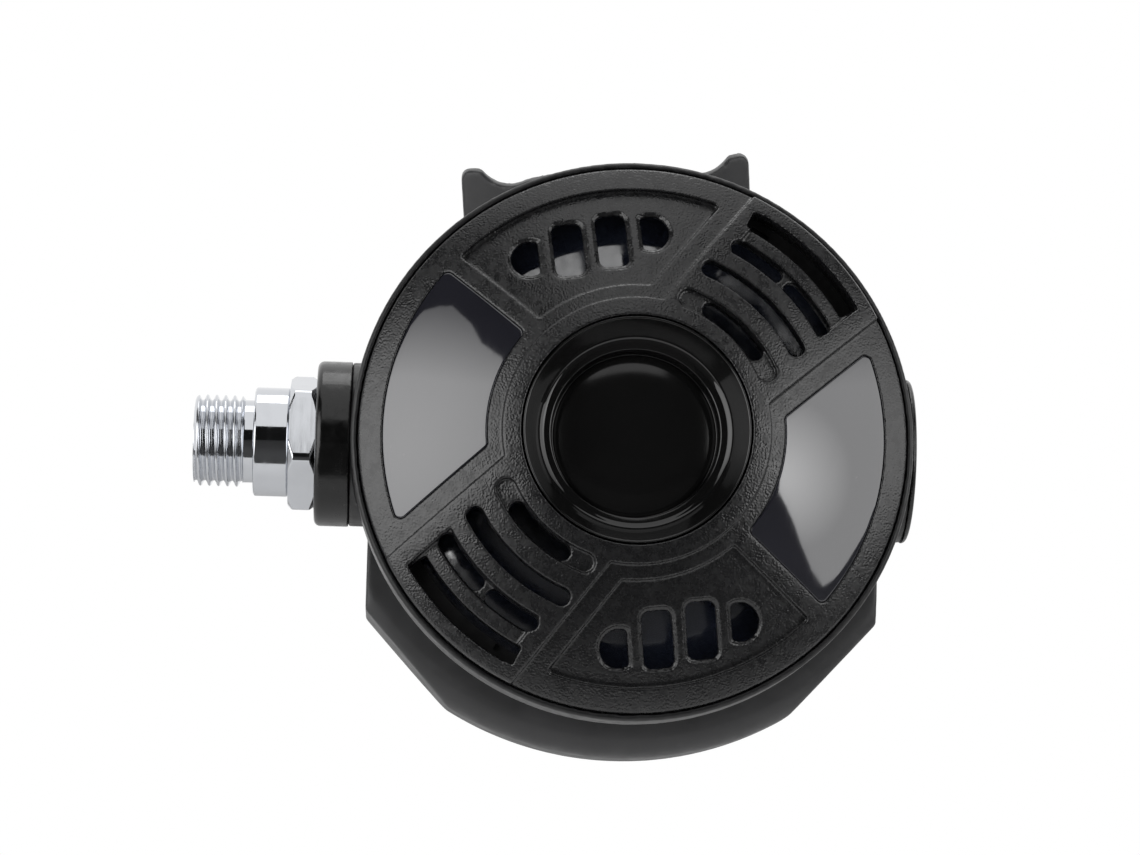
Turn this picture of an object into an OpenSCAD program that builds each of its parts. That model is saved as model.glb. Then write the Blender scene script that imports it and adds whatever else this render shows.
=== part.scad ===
// Diving demand valve (second stage): a round moulded case on a metal valve
// barrel, with a louvred front cover, purge button, exhaust tee and mouthpiece.
//
// Frame: the valve axis is the X axis and the origin is the outer end of the
// hose thread. +X runs from the hose into the case, -Y is the diver's front
// (the cover), +Y points at the mouth, +Z is up. All sizes are millimetres.
// Pieces on the case axis are drawn in a "forward" frame whose own z is the
// height in front of the valve axis.

/* [Rim and case] */
// Outer radius of the case rim
rim_r = 43.2; // [42:0.1:46]
// Height of the rim face in front of the valve axis
rim_h = 16; // [15.6:0.1:18]
// Wall left round the cover at the rim
rim_lip = 1; // [0.8:0.1:1.4]
// Step from the rim in to the bowl behind it
bowl_step = 3.2; // [2.6:0.1:4]
// Wall of the bowl
case_wall = 2.4; // [2:0.1:3]
// Depth of the bowl behind the valve axis
case_back = 18; // [17:0.5:22]
// Rounding between the bowl's side and its back
back_round = 14; // [8:0.5:16]
// Radius of the two side bosses that carry the barrel
boss_r = 12.8; // [11:0.1:12.8]
// Radius of the flat pads inside the bosses
pad_r = 9.4; // [8.8:0.1:10]
// How far the pads stand into the bowl
pad_len = 1.2; // [0.8:0.1:2]

/* [Front cover] */
// Radius of the dome
dome_r = 85.7; // [80:0.1:92]
// Height of the dome above the rim where its edge rounding starts
edge_rise = 1.3; // [1.1:0.1:2.2]
// Thickness of the cover's skin
skin = 2.6; // [2.2:0.1:3]
// Height of the hub and louvre arms above the dome
raise = 1.2; // [0.8:0.1:1.8]
// Radius of the raised hub round the button
hub_r = 20.3; // [19.8:0.1:21]
// Radius of the rounded outer edge
cover_edge = 1.6; // [1:0.1:2]
// Angle that the cover is turned in its seat, against the clock as seen from the front
cover_clock = 1.5; // [0:0.1:4]
// Half width of a louvre arm where it leaves the hub
arm_half = 11.2; // [10.8:0.1:11.6]
// Flare of each side of a louvre arm
arm_flare = 5.5; // [5:0.5:7]
// Depth of the two vent recesses
vent_depth = 1.1; // [0.7:0.1:1.3]
// Inner radius of a vent recess
vent_in = 22.5; // [22:0.1:23]
// Outer radius of a vent recess and of a panel
vent_out = 38.4; // [37.8:0.1:38.8]
// Width of a vent slot
slot_w = 4.6; // [4:0.1:5]
// Spacing of the vent slots
slot_pitch = 6.8; // [6.4:0.1:7.2]
// Length of the two long vent slots
slot_len = 8.5; // [7.5:0.1:9]
// Length of the two round-ended slots
end_slot_len = 5.7; // [5:0.1:6.2]
// How far both rows of slots lie below their symmetrical places
slot_drop = 0.6; // [0:0.1:0.8]
// Rounding of the panels' corners
panel_corner = 1.2; // [0.6:0.1:1.6]
// Rounding of the vent recesses' corners
vent_corner = 0.7; // [0.4:0.1:1.2]
// Thickness of the inlaid gloss panels
panel_t = 0.9; // [0.6:0.1:1]
// Gap round a panel in its pocket
panel_gap = 0.15; // [0.1:0.05:0.3]
// Width of the ledge between an arm and its neighbours
ledge_w = 3; // [2.6:0.1:3.4]

/* [Purge button] */
// Radius of the button
button_r = 17.2; // [16.6:0.1:17.3]
// Gap between the button and the cover
button_gap = 0.3; // [0.2:0.05:0.4]
// How far the button can be pushed
purge_travel = 3; // [2:0.1:3]
// Radius of the bare disc in the middle of the button
disc_r = 12.5; // [12:0.1:12.7]
// Depth of the disc below the button's edge
disc_depth = 8; // [7.5:0.1:8.4]
// Radius of the foot of the button's steep inner flank
flank_r = 14.75; // [14.3:0.05:15.2]
// Depth of that foot below the button's edge
flank_depth = 4.3; // [3.8:0.1:4.6]
// Wall between the disc and the guide boss's outside
guide_wall = 0.75; // [0.6:0.05:0.9]
// Radius of the wire of the purge spring
purge_wire_r = 0.35; // [0.25:0.05:0.35]
// Turns of the purge spring
purge_turns = 2.5; // [2:0.5:2.5]

/* [Diaphragm] */
// Thickness of the diaphragm's clamped rim
bead_t = 1.4; // [1.2:0.1:1.6]
// Thickness of the diaphragm's skin
membrane_t = 0.9; // [0.6:0.1:1]
// Radius of the diaphragm's flat middle
flat_r = 24; // [22:0.5:25]
// Height of the rolled ridge
ridge_h = 1.6; // [1:0.1:2]
// Radius of the stiff plate behind the diaphragm
plate_r = 20; // [18:0.5:21]
// Thickness of the plate
plate_t = 0.8; // [0.6:0.1:1]
// Thickness of the slip washer
washer_t = 0.4; // [0.3:0.1:0.5]
// Thickness of the ring that clamps the diaphragm
clamp_t = 2.2; // [2:0.1:2.4]

/* [Inlet] */
// Outside diameter of the hose thread, nine sixteenths of an inch
thread_d = 14.29; // [14:0.01:14.5]
// Length of the hose thread
thread_len = 7.8; // [7:0.1:9]
// Diameter of the relief behind the thread
relief_d = 12.9; // [12.4:0.1:13.2]
// Length of the relief
relief_len = 1.5; // [1:0.1:2]
// Diameter of the round shoulder
shoulder_d = 17; // [16:0.1:18]
// Length of the round shoulder
shoulder_len = 5.5; // [5:0.1:6.5]
// Width across the flats of the hexagon
hex_af = 19.1; // [18.6:0.1:20]
// Length of the hexagon
hex_len = 4.1; // [3.6:0.1:5]
// Radius of the bore that takes the hose's seal
seal_bore_r = 4.2; // [4:0.05:4.6]
// Depth of the bore that takes the hose's seal
seal_bore_len = 6.5; // [6:0.1:8]
// Radius of the air way through the fitting
air_r = 2.4; // [2:0.1:2.8]
// Radius of the black collar and of the end cap
collar_r = 12.9; // [12.8:0.05:13.2]
// Length of the black collar
collar_len = 5.4; // [4.5:0.1:7]
// Thickness of the end cap
cap_t = 0.8; // [0.6:0.1:2]

/* [Valve] */
// Outer radius of the valve barrel
barrel_r = 6.5; // [6.3:0.05:6.6]
// Bore radius of the valve barrel
bore_r = 4.36; // [4.2:0.02:4.5]
// Where the barrel's closed end lies, right of the case centre
barrel_end = 20; // [18:0.5:22]
// Thickness of the barrel's closed end
end_wall = 2.5; // [2:0.1:3]
// Radius of the poppet's stem
stem_r = 1.5; // [1.3:0.05:1.6]
// Where the valve seat's edge lies, left of the case centre
seat_x = 21.6; // [20:0.2:24]
// Length of the poppet's head
head_len = 4; // [3:0.1:5]
// Thickness of the rubber seat
rubber_t = 1.5; // [1.2:0.1:2]
// Radius of the wire of the poppet spring
poppet_wire_r = 0.4; // [0.3:0.05:0.45]
// Turns of the poppet spring
poppet_turns = 10; // [7:1:11]
// Thickness of the lever's sheet metal
lever_t = 1; // [0.8:0.1:1.2]
// Width of the lever at its fork
lever_w = 9; // [8:0.2:10]
// Width of the lever at its tip
tip_w = 5; // [4:0.2:6]
// How far the fork reaches behind the valve axis
fork_reach = 2; // [1.6:0.1:2.2]

/* [Exhaust] */
// How far the exhaust port lies below the case centre
port_drop = 20; // [19:0.5:21]
// Bore radius of the exhaust port
port_r = 12.4; // [11:0.2:12.6]
// Wall of the exhaust port
port_wall = 2.2; // [1.8:0.1:2.4]
// How far the port stands out of the case's back
port_len = 2.6; // [2.4:0.1:3]
// Thickness of the exhaust flap
flap_t = 0.9; // [0.7:0.1:1.1]
// How far the flap lifts off its seat
flap_lift = 1.5; // [1:0.1:1.5]
// How far the tee's bottom lies below the case centre
tee_drop = 46.5; // [44:0.1:50]
// Radius of the tee's bottom outline
tee_r = 54; // [50:1:60]
// Half the width across the tee's outlets
tee_half = 41.2; // [39:0.1:45]
// Depth of the outlets' upper edge below the case centre
outlet_top = 7; // [5:0.5:9]
// Height of the outlets' ends
outlet_h = 17; // [15:0.5:20]
// Steepness of the tee's slanted lower corners
tee_slant = 1.1; // [0.8:0.05:1.4]
// Depth of the tee from front to back
tee_depth = 18; // [16:0.5:22]
// Wall of the tee
tee_wall = 2.2; // [1.8:0.1:2.6]
// Rounding of the tee's edges
tee_round = 5; // [3:0.2:6]
// How far the tee sits off the case's middle, towards the end cap
tee_shift = 0.85; // [0:0.05:1.2]

/* [Mouthpiece] */
// How far the mouth tube lies above the case centre
mouth_rise = 24; // [23:0.5:26]
// Upward tilt of the mouth tube
mouth_tilt = 25; // [22:1:28]
// Width of the mouth tube
tube_w = 34; // [32:0.5:35]
// Height of the mouth tube
tube_h = 20; // [19:0.5:21]
// Wall of the mouth tube
tube_wall = 2; // [1.8:0.1:2.4]
// Length of the mouth tube past the case's back
tube_len = 15; // [14:0.5:17]
// Wall of the mouthpiece
lip_wall = 2.2; // [2:0.1:2.6]
// Distance from the case's back to the mouthpiece's flange
flange_reach = 22; // [21:0.5:25]
// Half the width of the flange
flange_half = 24.2; // [23:0.2:26]
// Half the height of the flange at its horns
horn_half = 20.1; // [19.5:0.1:22]
// Distance of the valleys beside the horns from the flange's middle
valley_x = 16.2; // [15:0.1:17]
// Depth of those valleys below the horns
valley_d = 2.4; // [1.6:0.1:3.2]
// Radius of those valleys
valley_r = 5.5; // [4.5:0.1:6.5]
// Rounding of the horns
horn_r = 1.8; // [1.4:0.1:3]
// Thickness of the flange
flange_t = 2.4; // [2:0.1:3]
// Radius that the flange is curved to
flange_bend = 52; // [46:1:60]
// Turn of the flange about the mouth tube's axis
flange_turn = 5.2; // [0:0.2:7]
// How far the flange sits off the mouth tube's middle, towards the hose
flange_shift = 0.95; // [0:0.05:1.4]
// Width of the clamping band
band_w = 4.6; // [4:0.1:5.5]

/* [Hidden] */
$fn = 96;

// Clearances: touching faces that only meet, running fits, and parting gaps
fit = 0.05;
run = 0.08;
part = 0.1;

black = [0.10, 0.10, 0.11];
satin = [0.16, 0.16, 0.17];
gloss = [0.22, 0.22, 0.25];
chrome = [0.80, 0.81, 0.83];
brass = [0.78, 0.66, 0.36];
steel = [0.62, 0.63, 0.66];
silicone = [0.45, 0.50, 0.58];
rubber = [0.20, 0.20, 0.21];

// Inlet stations along the valve axis, from the hose end
boss_x = rim_r + part;
case_x = thread_len + relief_len + shoulder_len + hex_len + collar_len + boss_x;

// Case
bowl_r = rim_r - bowl_step;
bowl_in = bowl_r - case_wall;
seat_r = rim_r - rim_lip;
seat_h = rim_h - 1.6;
ledge_h = rim_h - 6.5;
thread_r = rim_r - 2.2;
pad_x = sqrt(bowl_in * bowl_in - pad_r * pad_r) - pad_len;

// Diaphragm stack, from the ledge forward
washer_h = ledge_h + bead_t;
clamp_h = washer_h + washer_t;
clamp_top = clamp_h + clamp_t;
clamp_in = thread_r - 3.6;
notch_w = 3;

// Front cover
cover_r = seat_r - part;
cover_in = thread_r - 2.4;
crown_h = rim_h + edge_rise + dome_r - sqrt(pow(dome_r, 2) - pow(cover_r - cover_edge, 2));
button_hole = button_r + button_gap;
sleeve_r = button_hole + 1.5;
rib_angle = 138;
rib_w = 2.9;
slot_lean = 5.5;
row_lean = 12;
end_slot_w = slot_w - 0.4;
slot_mid = [-6.7, 29.8];
trough_r = 21.6;
long_slot_r = 27.5;
pair_slot_r = 32.9;
outer_slot_r = 38.1;

// Button stack, from its edge back to the lever
button_top = surface_h(button_hole, raise);
disc_h = button_top - disc_depth;
guide_r = disc_r + guide_wall;
clip_t = 0.45;
shelf_t = 1.1;
shelf_h = disc_h - 3.5;
clip_h = shelf_h - part - clip_t;
push_h = clip_h - 0.25;
button_under = shelf_h + shelf_t + purge_travel + 4 * purge_wire_r;
membrane_h = push_h - 0.3;
plate_h = membrane_h - membrane_t - plate_t;
tip_h = plate_h - part;

// Valve, measured from the case centre along the valve axis
barrel_start = -(boss_x + collar_len - 1);
shoulder_x = -pad_x;
seal_x = boss_x - 3;
seal_r = 0.55;
rubber_x = -seat_x + fit;
head_x = rubber_x + rubber_t;
spring_x = head_x + head_len + fit;
spring_end = barrel_end - end_wall - fit;
fork_x = barrel_end + part;
collar_washer_x = fork_x + lever_t + part;
nut_x = collar_washer_x + 0.6;
lever_arm = fork_x;
tip_bump = 0.3;
orifice_len = 16;
cap_nut_t = 3;
vane_len = 12;
vane_reach = 9;
vane_t = 1.6;

// Exhaust
port_h = -case_back - port_len;
flap_r = port_r + 1.2;
hub_h = port_h + port_len;
hub_t = 2;
flap_stem_r = 1.5;
knob_h = 1.6;
tee_front = case_back + 0.4;
tee_top = 3;
tee_flat = 19;

// Mouthpiece
mouth_y = case_back;
tube_start = -14;
boot_w = tube_w + 1.2 + 2 * lip_wall + 2 * part;
boot_h = tube_h + 1.2 + 2 * lip_wall + 2 * part;
boot_start = 4.5;

function surface_h(r, lift) = crown_h - dome_r + sqrt(pow(dome_r + lift, 2) - r * r);
function polar(a) = [cos(a), sin(a)];
function arc(x, y, r, a0, a1, n) =
    [for (i = [0:n]) [x, y] + r * polar(a0 + (a1 - a0) * i / n)];

// ---------------------------------------------------------------- frames

// z is the height in front of the valve axis, on the case axis
module forward() {
    translate([case_x, 0, 0]) rotate([90, 0, 0]) children();
}

// z runs along the valve axis from x, measured from the case centre
module along(x) {
    translate([case_x + x, 0, 0]) rotate([0, 90, 0]) children();
}

// z runs out along the mouth tube, y points down
module mouth() {
    translate([case_x, mouth_y, mouth_rise]) rotate([mouth_tilt - 90, 0, 0]) children();
}

// the exhaust port's axis, z forward
module port() {
    forward() translate([0, -port_drop, 0]) children();
}

// ---------------------------------------------------------------- shapes

module tube(r_out, r_in, h) {
    difference() {
        cylinder(r = r_out, h = h);
        translate([0, 0, -1]) cylinder(r = r_in, h = h + 2);
    }
}

// disc with its top edge rounded
module round_disc(r, h, edge) {
    rotate_extrude() intersection() {
        square([r, h]);
        union() {
            square([r, h - edge]);
            square([r - edge, h]);
            translate([r - edge, h - edge]) circle(edge);
        }
    }
}

module stadium(w, h) {
    square([w - h, h], center = true);
    for (s = [-1, 1]) translate([s * (w - h) / 2, 0]) circle(h / 2);
}

module round_rect(w, h, r) {
    square([w - 2 * r, h], center = true);
    square([w, h - 2 * r], center = true);
    for (x = [-1, 1], y = [-1, 1]) translate([x * (w / 2 - r), y * (h / 2 - r)]) circle(r);
}

// slot bent round the axis, with square ends
module square_slot(r, w, a0, a1, h0, h1) {
    rotate([0, 0, a0]) rotate_extrude(angle = a1 - a0) translate([r - w / 2, h0]) square([w, h1 - h0]);
}

// the same with round ends, a hair wider than the slot so that no faces are tangent
module arc_slot(r, w, a0, a1, h0, h1) {
    square_slot(r, w, a0, a1, h0, h1);
    for (a = [a0, a1]) rotate([0, 0, a]) translate([r, 0, h0]) cylinder(d = w + 0.06, h = h1 - h0);
}

// centre line of a coil whose radius grows from r0 to r1, in n steps
function coil_line(r0, r1, wire, len, turns, n) =
    [for (i = [0:n]) let (t = i / n, a = 360 * turns * t, r = r0 + (r1 - r0) * t)
        [r * cos(a), r * sin(a), wire + (len - 2 * wire) * t]];

// least gap between the wire of a coil and its own next turns
function coil_gap(line, wire, per_turn) =
    let (last = len(line) - 1, skip = round(per_turn / 2))
    min([for (i = [0:last]) for (j = [i + skip:1:last]) norm(line[i] - line[j])]) - 2 * wire;

// coil of round wire from z = 0 to z = len, its radius growing from r0 to r1
module coil(name, r0, r1, wire, len, turns) {
    rings = 12;
    sides = 6;
    n = ceil(turns * rings);
    fine_line = coil_line(r0, r1, wire, len, turns, 6 * n);
    echo(str(name, ": least gap between turns ", coil_gap(fine_line, wire, 6 * rings)));
    pts = [for (i = [0:n]) let (c = coil_line(r0, r1, wire, len, turns, n)[i], a = 360 * turns * i / n)
        for (k = [0:sides - 1]) let (b = 360 * k / sides)
            c + wire * [cos(a) * cos(b), sin(a) * cos(b), sin(b)]];
    walls = [for (i = [0:n - 1], k = [0:sides - 1]) let (m = (k + 1) % sides)
        each [[i * sides + k, i * sides + m, (i + 1) * sides + m],
              [i * sides + k, (i + 1) * sides + m, (i + 1) * sides + k]]];
    ends = [for (k = [1:sides - 2]) each [[0, k + 1, k], [n * sides, n * sides + k, n * sides + k + 1]]];
    polyhedron(points = pts, faces = concat(walls, ends));
}

// ---------------------------------------------------------------- case

module bowl(r, back, edge, top) {
    mirror([0, 0, 1]) translate([0, 0, -top]) round_disc(r, top + back, edge);
}

module case_outer() {
    forward() {
        bowl(bowl_r, case_back, back_round, rim_h - 8);
        translate([0, 0, rim_h - 8]) round_disc(rim_r, 8, 0.5);
    }
    along(-boss_x) cylinder(r = boss_r, h = 2 * boss_x);
    port() translate([0, 0, port_h]) cylinder(r = port_r + port_wall, h = port_len + 8);
    mouth() {
        translate([0, 0, tube_start]) linear_extrude(tube_len - tube_start) stadium(tube_w, tube_h);
        translate([0, 0, tube_len - 2.5]) linear_extrude(1.5) stadium(tube_w + 1.2, tube_h + 1.2);
    }
}

module case_inner() {
    difference() {
        forward() bowl(bowl_in, case_back - case_wall, back_round - case_wall, rim_h + 1);
        for (s = [-1, 1]) along(s > 0 ? pad_x : -boss_x) cylinder(r = pad_r, h = boss_x - pad_x);
    }
    forward() {
        translate([0, 0, ledge_h]) cylinder(r = thread_r, h = 10);
        translate([0, 0, seat_h]) cylinder(r = seat_r, h = 10);
    }
    along(-boss_x - 1) cylinder(r = barrel_r + part, h = 2 * boss_x + 2);
    mouth() translate([0, 0, tube_start - 4])
        linear_extrude(tube_len - tube_start + 8) stadium(tube_w - 2 * tube_wall, tube_h - 2 * tube_wall);
    port() translate([0, 0, port_h - 1]) cylinder(r = port_r, h = port_len + 8);
}

// hub on crossed bars that holds the flap's stem in the port
module port_spider() {
    port() translate([0, 0, hub_h]) difference() {
        union() {
            cylinder(r = 2 * flap_stem_r + 0.2, h = hub_t);
            for (a = [45, 135]) rotate([0, 0, a])
                translate([-port_r - 0.5, -0.9, 0]) cube([2 * port_r + 1, 1.8, hub_t]);
        }
        translate([0, 0, -1]) cylinder(r = flap_stem_r + run, h = hub_t + 2);
    }
}

module case() {
    color(satin) {
        difference() {
            case_outer();
            case_inner();
        }
        port_spider();
    }
}

// ---------------------------------------------------------------- cover

// ball whose surface lies lift above the dome
module dome(lift) {
    translate([0, 0, crown_h - dome_r]) sphere(r = dome_r + lift, $fn = 240);
}

// space that the cover's outside stays in, rounded at its edge
module cover_envelope(lift) {
    top = surface_h(cover_r - cover_edge, lift);
    translate([0, 0, seat_h]) {
        round_disc(cover_r, top - seat_h, cover_edge);
        cylinder(r = cover_r - cover_edge, h = crown_h - seat_h + 4);
    }
}

// half width of a louvre arm at a distance from the cover's centre
function arm_at(s) = arm_half + (s - 17) * tan(arm_flare);

// outline of an arm along +X, drawn in from its sides by inset
module arm(inset, s0, s1) {
    polygon([[s0, -arm_at(s0) + inset], [s1, -arm_at(s1) + inset],
             [s1, arm_at(s1) - inset], [s0, arm_at(s0) - inset]]);
}

module both_arms(inset, s0, s1) {
    for (a = [45, 225]) rotate(a) arm(inset, s0, s1);
}

// ring sector between an arm's ledge and the rib that stands at rib_angle
module sector(inset) {
    difference() {
        circle(vent_out - inset);
        circle(vent_in + inset);
        both_arms(-ledge_w - inset, 0, 60);
        rotate(rib_angle) translate([-60, -rib_w - inset]) square([120, rib_w + 2 * inset]);
    }
}

// what rounding the corner takes away where a straight side, off the centre towards angle a
// and running on towards angle way, meets a circle of radius r round the centre
module corner_waste(a, off, way, r, side, q) {
    s = q - 0.05;
    c = (off + s) * polar(a) + sqrt(pow(r - side * s, 2) - pow(off + s, 2)) * polar(way);
    across = -3 * q * polar(a);
    along = 3 * side * q * c / norm(c);
    difference() {
        polygon([c, c + across, c + across + along, c + along]);
        translate(c) circle(q);
    }
}

// the same at the two ends of a straight side
module side_waste(a, off, way, inset, q) {
    corner_waste(a, off, way, vent_out - inset, 1, q);
    corner_waste(a, off, way, vent_in + inset, -1, q);
}

// distance of the ledge's edge from the centre
function ledge_off(inset) = (arm_at(0) + ledge_w + inset) * cos(arm_flare);

module vent_area() {
    difference() {
        intersection() {
            sector(0);
            rotate(rib_angle - 92) square(60);
        }
        side_waste(135 + arm_flare, ledge_off(0), 45 + arm_flare, 0, vent_corner);
        side_waste(rib_angle - 90, rib_w, rib_angle, 0, vent_corner);
    }
}

module panel_area(inset) {
    difference() {
        intersection() {
            sector(inset);
            rotate(rib_angle) square(80);
        }
        side_waste(rib_angle + 90, inset, rib_angle, inset, panel_corner - inset);
        side_waste(135 - arm_flare, ledge_off(inset), 225 - arm_flare, inset, panel_corner - inset);
    }
}

// slot with a round end towards -x and a straight side towards +x
module end_slot(grow) {
    intersection() {
        translate([(end_slot_len - end_slot_w) / 2, 0]) circle(d = end_slot_len + grow);
        translate([-10, -10]) square([10 + (end_slot_w + grow) / 2, 20]);
    }
}

// one of four slots of a vent, long in the middle and round at the ends
module vent_slot(i, grow) {
    s = i - 1.5;
    translate(slot_mid + s * slot_pitch * polar(row_lean)) rotate(slot_lean)
        if (abs(s) < 1)
            round_rect(slot_w + grow, slot_len + grow, 1.2 + grow / 2);
        else
            mirror([s > 0 ? 1 : 0, 0]) end_slot(grow);
}

module vent_cuts(shift) {
    difference() {
        translate([0, 0, rim_h]) linear_extrude(20) vent_area();
        dome(-vent_depth);
    }
    translate([0, shift, rim_h - 4]) linear_extrude(24) for (i = [0:3]) vent_slot(i, 0);
    difference() {
        translate([0, shift, rim_h]) linear_extrude(20) for (i = [0:3]) vent_slot(i, 1);
        dome(-vent_depth - 0.4);
    }
}

// louvres of one arm, along +X, from the hub outward
module louvre_cuts() {
    low = rim_h - 4;
    high = crown_h + 4;
    arc_slot(trough_r, 2.5, -11, 13.5, low, high);
    arc_slot(long_slot_r, 2.75, -17, 20.5, low, high);
    arc_slot(pair_slot_r, 2.45, -15, -2, low, high);
    arc_slot(pair_slot_r, 2.45, 4.2, 16, low, high);
    square_slot(outer_slot_r, 3.0, -14.8, 17, low, high);
    // shallow trough round the inmost slot
    difference() {
        arc_slot(trough_r, 3.1, -20.5, 23.5, rim_h, high);
        dome(raise - 1);
    }
    // window that the two outer bars lie in
    difference() {
        translate([0, 0, rim_h]) linear_extrude(20) difference() {
            arm(ledge_w, 25, 60);
            circle(pair_slot_r - 1.4);
            difference() {
                circle(60);
                circle(outer_slot_r + 1.7);
            }
        }
        dome(raise - 1.1);
    }
    // channel of the paired slots, between the bars
    difference() {
        translate([0, 0, rim_h]) linear_extrude(20) intersection() {
            arm(ledge_w + 0.4, 25, 60);
            difference() {
                circle(pair_slot_r + 1.5);
                circle(pair_slot_r - 1.25);
            }
        }
        dome(raise - 2);
    }
}

module panel_cuts() {
    difference() {
        translate([0, 0, rim_h]) linear_extrude(20) panel_area(0);
        dome(-panel_t - 0.2);
    }
}

module front_cover() {
    color(black) forward() rotate([0, 0, cover_clock]) difference() {
        union() {
            difference() {
                union() {
                    intersection() {
                        dome(0);
                        cover_envelope(0);
                    }
                    intersection() {
                        dome(raise);
                        cover_envelope(raise);
                        translate([0, 0, seat_h]) linear_extrude(20) {
                            circle(hub_r);
                            both_arms(0, 8, 60);
                        }
                    }
                    translate([0, 0, clamp_top]) cylinder(r = thread_r - 0.15, h = seat_h - clamp_top + 0.5);
                }
                intersection() {
                    dome(-skin);
                    translate([0, 0, clamp_top - 1]) cylinder(r = cover_in, h = 40);
                }
            }
            translate([0, 0, shelf_h]) cylinder(r = sleeve_r, h = surface_h(sleeve_r, 0) - shelf_h - 0.5);
        }
        translate([0, 0, shelf_h + shelf_t]) cylinder(r = button_hole, h = 40);
        translate([0, 0, shelf_h - 1]) cylinder(r = guide_r + run, h = 10);
        for (a = [0, 180]) rotate([0, 0, a]) {
            vent_cuts(a == 0 ? -slot_drop : slot_drop);
            panel_cuts();
            rotate([0, 0, 45]) louvre_cuts();
        }
    }
}

module cover_panels() {
    color(gloss) forward() rotate([0, 0, cover_clock]) for (a = [0, 180]) rotate([0, 0, a])
        intersection() {
            translate([0, 0, rim_h]) linear_extrude(20) panel_area(panel_gap);
            difference() {
                dome(-0.2 + fit);
                dome(-panel_t - 0.2 + fit);
            }
        }
}

// ---------------------------------------------------------------- button

module purge_button() {
    edge = 0.35;
    lip_h = button_top - flank_depth + 0.6;
    color(black) forward() rotate_extrude() polygon(concat(
        [[0, disc_h - 1.4], [guide_r - 1.4, disc_h - 1.4], [guide_r - 1.4, push_h], [guide_r, push_h],
         [guide_r, clip_h - part / 2], [guide_r - 0.6, clip_h - part / 2],
         [guide_r - 0.6, clip_h + clip_t + part / 2], [guide_r, clip_h + clip_t + part / 2],
         [guide_r, button_under], [button_r, button_under]],
        arc(button_r - edge, button_top - edge, edge, 0, 155, 6),
        [[flank_r, button_top - flank_depth], [flank_r - 1.4, lip_h], [disc_r + 0.4, lip_h - 0.35],
         [disc_r, disc_h + 1.2], [disc_r, disc_h], [0, disc_h]]
    ));
}

module purge_inlay() {
    color(gloss) forward() translate([0, 0, disc_h + fit]) cylinder(r = disc_r - part, h = 0.4);
}

module purge_spring() {
    h0 = shelf_h + shelf_t + fit;
    color(steel) forward() translate([0, 0, h0])
        coil("purge spring", guide_r + 1, guide_r + 1 + 2.6 * purge_wire_r * purge_turns, purge_wire_r,
             button_under - h0 - fit, purge_turns);
}

// open snap ring in the guide boss's groove
module purge_clip() {
    color(steel) forward() translate([0, 0, clip_h]) rotate([0, 0, -75]) rotate_extrude(angle = 330)
        translate([guide_r - 0.6 + fit, 0]) square([1.8, clip_t]);
}

// ---------------------------------------------------------------- diaphragm

module clamp_ring() {
    color(satin) forward() translate([0, 0, clamp_h]) difference() {
        tube(thread_r - fit, clamp_in, clamp_t);
        for (a = [0:60:300]) rotate([0, 0, a])
            translate([clamp_in - 0.4, -notch_w / 2, clamp_t / 2]) cube([notch_w / 2, notch_w, clamp_t]);
    }
}

module slip_washer() {
    color(steel) forward() translate([0, 0, washer_h]) tube(thread_r - 0.2, clamp_in + 0.2, washer_t);
}

// height of the diaphragm's skin, at its middle, between the flat and the rim
function skin_h(t) = (membrane_h - membrane_t / 2) * (1 - t) + (ledge_h + bead_t / 2) * t
    + ridge_h * pow(sin(180 * t), 2);

module diaphragm() {
    steps = 16;
    rim_in = clamp_in;
    skin_path = [for (i = [0:steps]) let (t = i / steps) [flat_r + (rim_in - flat_r) * t, skin_h(t)]];
    color(silicone) forward() rotate_extrude() polygon(concat(
        [[0, membrane_h - membrane_t]],
        [for (p = skin_path) [p.x, p.y - membrane_t / 2]],
        [[rim_in, ledge_h], [thread_r - 0.2, ledge_h], [thread_r - 0.2, washer_h], [rim_in, washer_h]],
        [for (i = [steps:-1:0]) [skin_path[i].x, skin_path[i].y + membrane_t / 2]],
        [[0, membrane_h]]
    ));
}

module diaphragm_plate() {
    color(steel) forward() translate([0, 0, plate_h]) difference() {
        cylinder(r = plate_r, h = plate_t - fit);
        for (a = [0:60:300]) rotate([0, 0, a + 30]) translate([plate_r - 4, 0, -1]) cylinder(r = 1.2, h = 3);
    }
}

// ---------------------------------------------------------------- inlet

// cylinder along z with both end edges chamfered
module turned(r, len, c) {
    rotate_extrude() polygon([[0, 0], [r - c, 0], [r, c], [r, len - c], [r - c, len], [0, len]]);
}

module inlet_fitting() {
    shoulder_x0 = thread_len + relief_len;
    hex_x0 = shoulder_x0 + shoulder_len;
    stem_len = boss_x + collar_len - seat_x - orifice_len - 0.2;
    color(chrome) rotate([0, 90, 0]) difference() {
        union() {
            cylinder(d = thread_d, h = thread_len - 0.8);
            translate([0, 0, thread_len - 1.6]) turned(thread_d / 2, 1.6, 0.8);
            translate([0, 0, thread_len - 1]) cylinder(d = relief_d, h = relief_len + 2);
            translate([0, 0, shoulder_x0]) turned(shoulder_d / 2, shoulder_len + 0.5, 0.4);
            translate([0, 0, hex_x0]) intersection() {
                rotate([0, 0, 9]) cylinder(d = hex_af / cos(30), h = hex_len, $fn = 6);
                turned(hex_af / cos(30) / 2 - 0.2, hex_len, 0.8);
            }
            translate([0, 0, hex_x0 + hex_len - 0.5]) cylinder(r = bore_r, h = stem_len + 0.5);
        }
        translate([0, 0, -1]) cylinder(r = seal_bore_r, h = seal_bore_len + 1);
        translate([0, 0, -1]) cylinder(r = air_r, h = case_x);
    }
}

module inlet_collar() {
    color(black) along(-boss_x) rotate([180, 0, 0]) difference() {
        round_disc(collar_r, collar_len, 1);
        translate([0, 0, -1]) cylinder(r = barrel_r + part, h = collar_len);
        translate([0, 0, -1]) cylinder(r = bore_r + part, h = collar_len + 2);
    }
}

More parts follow.
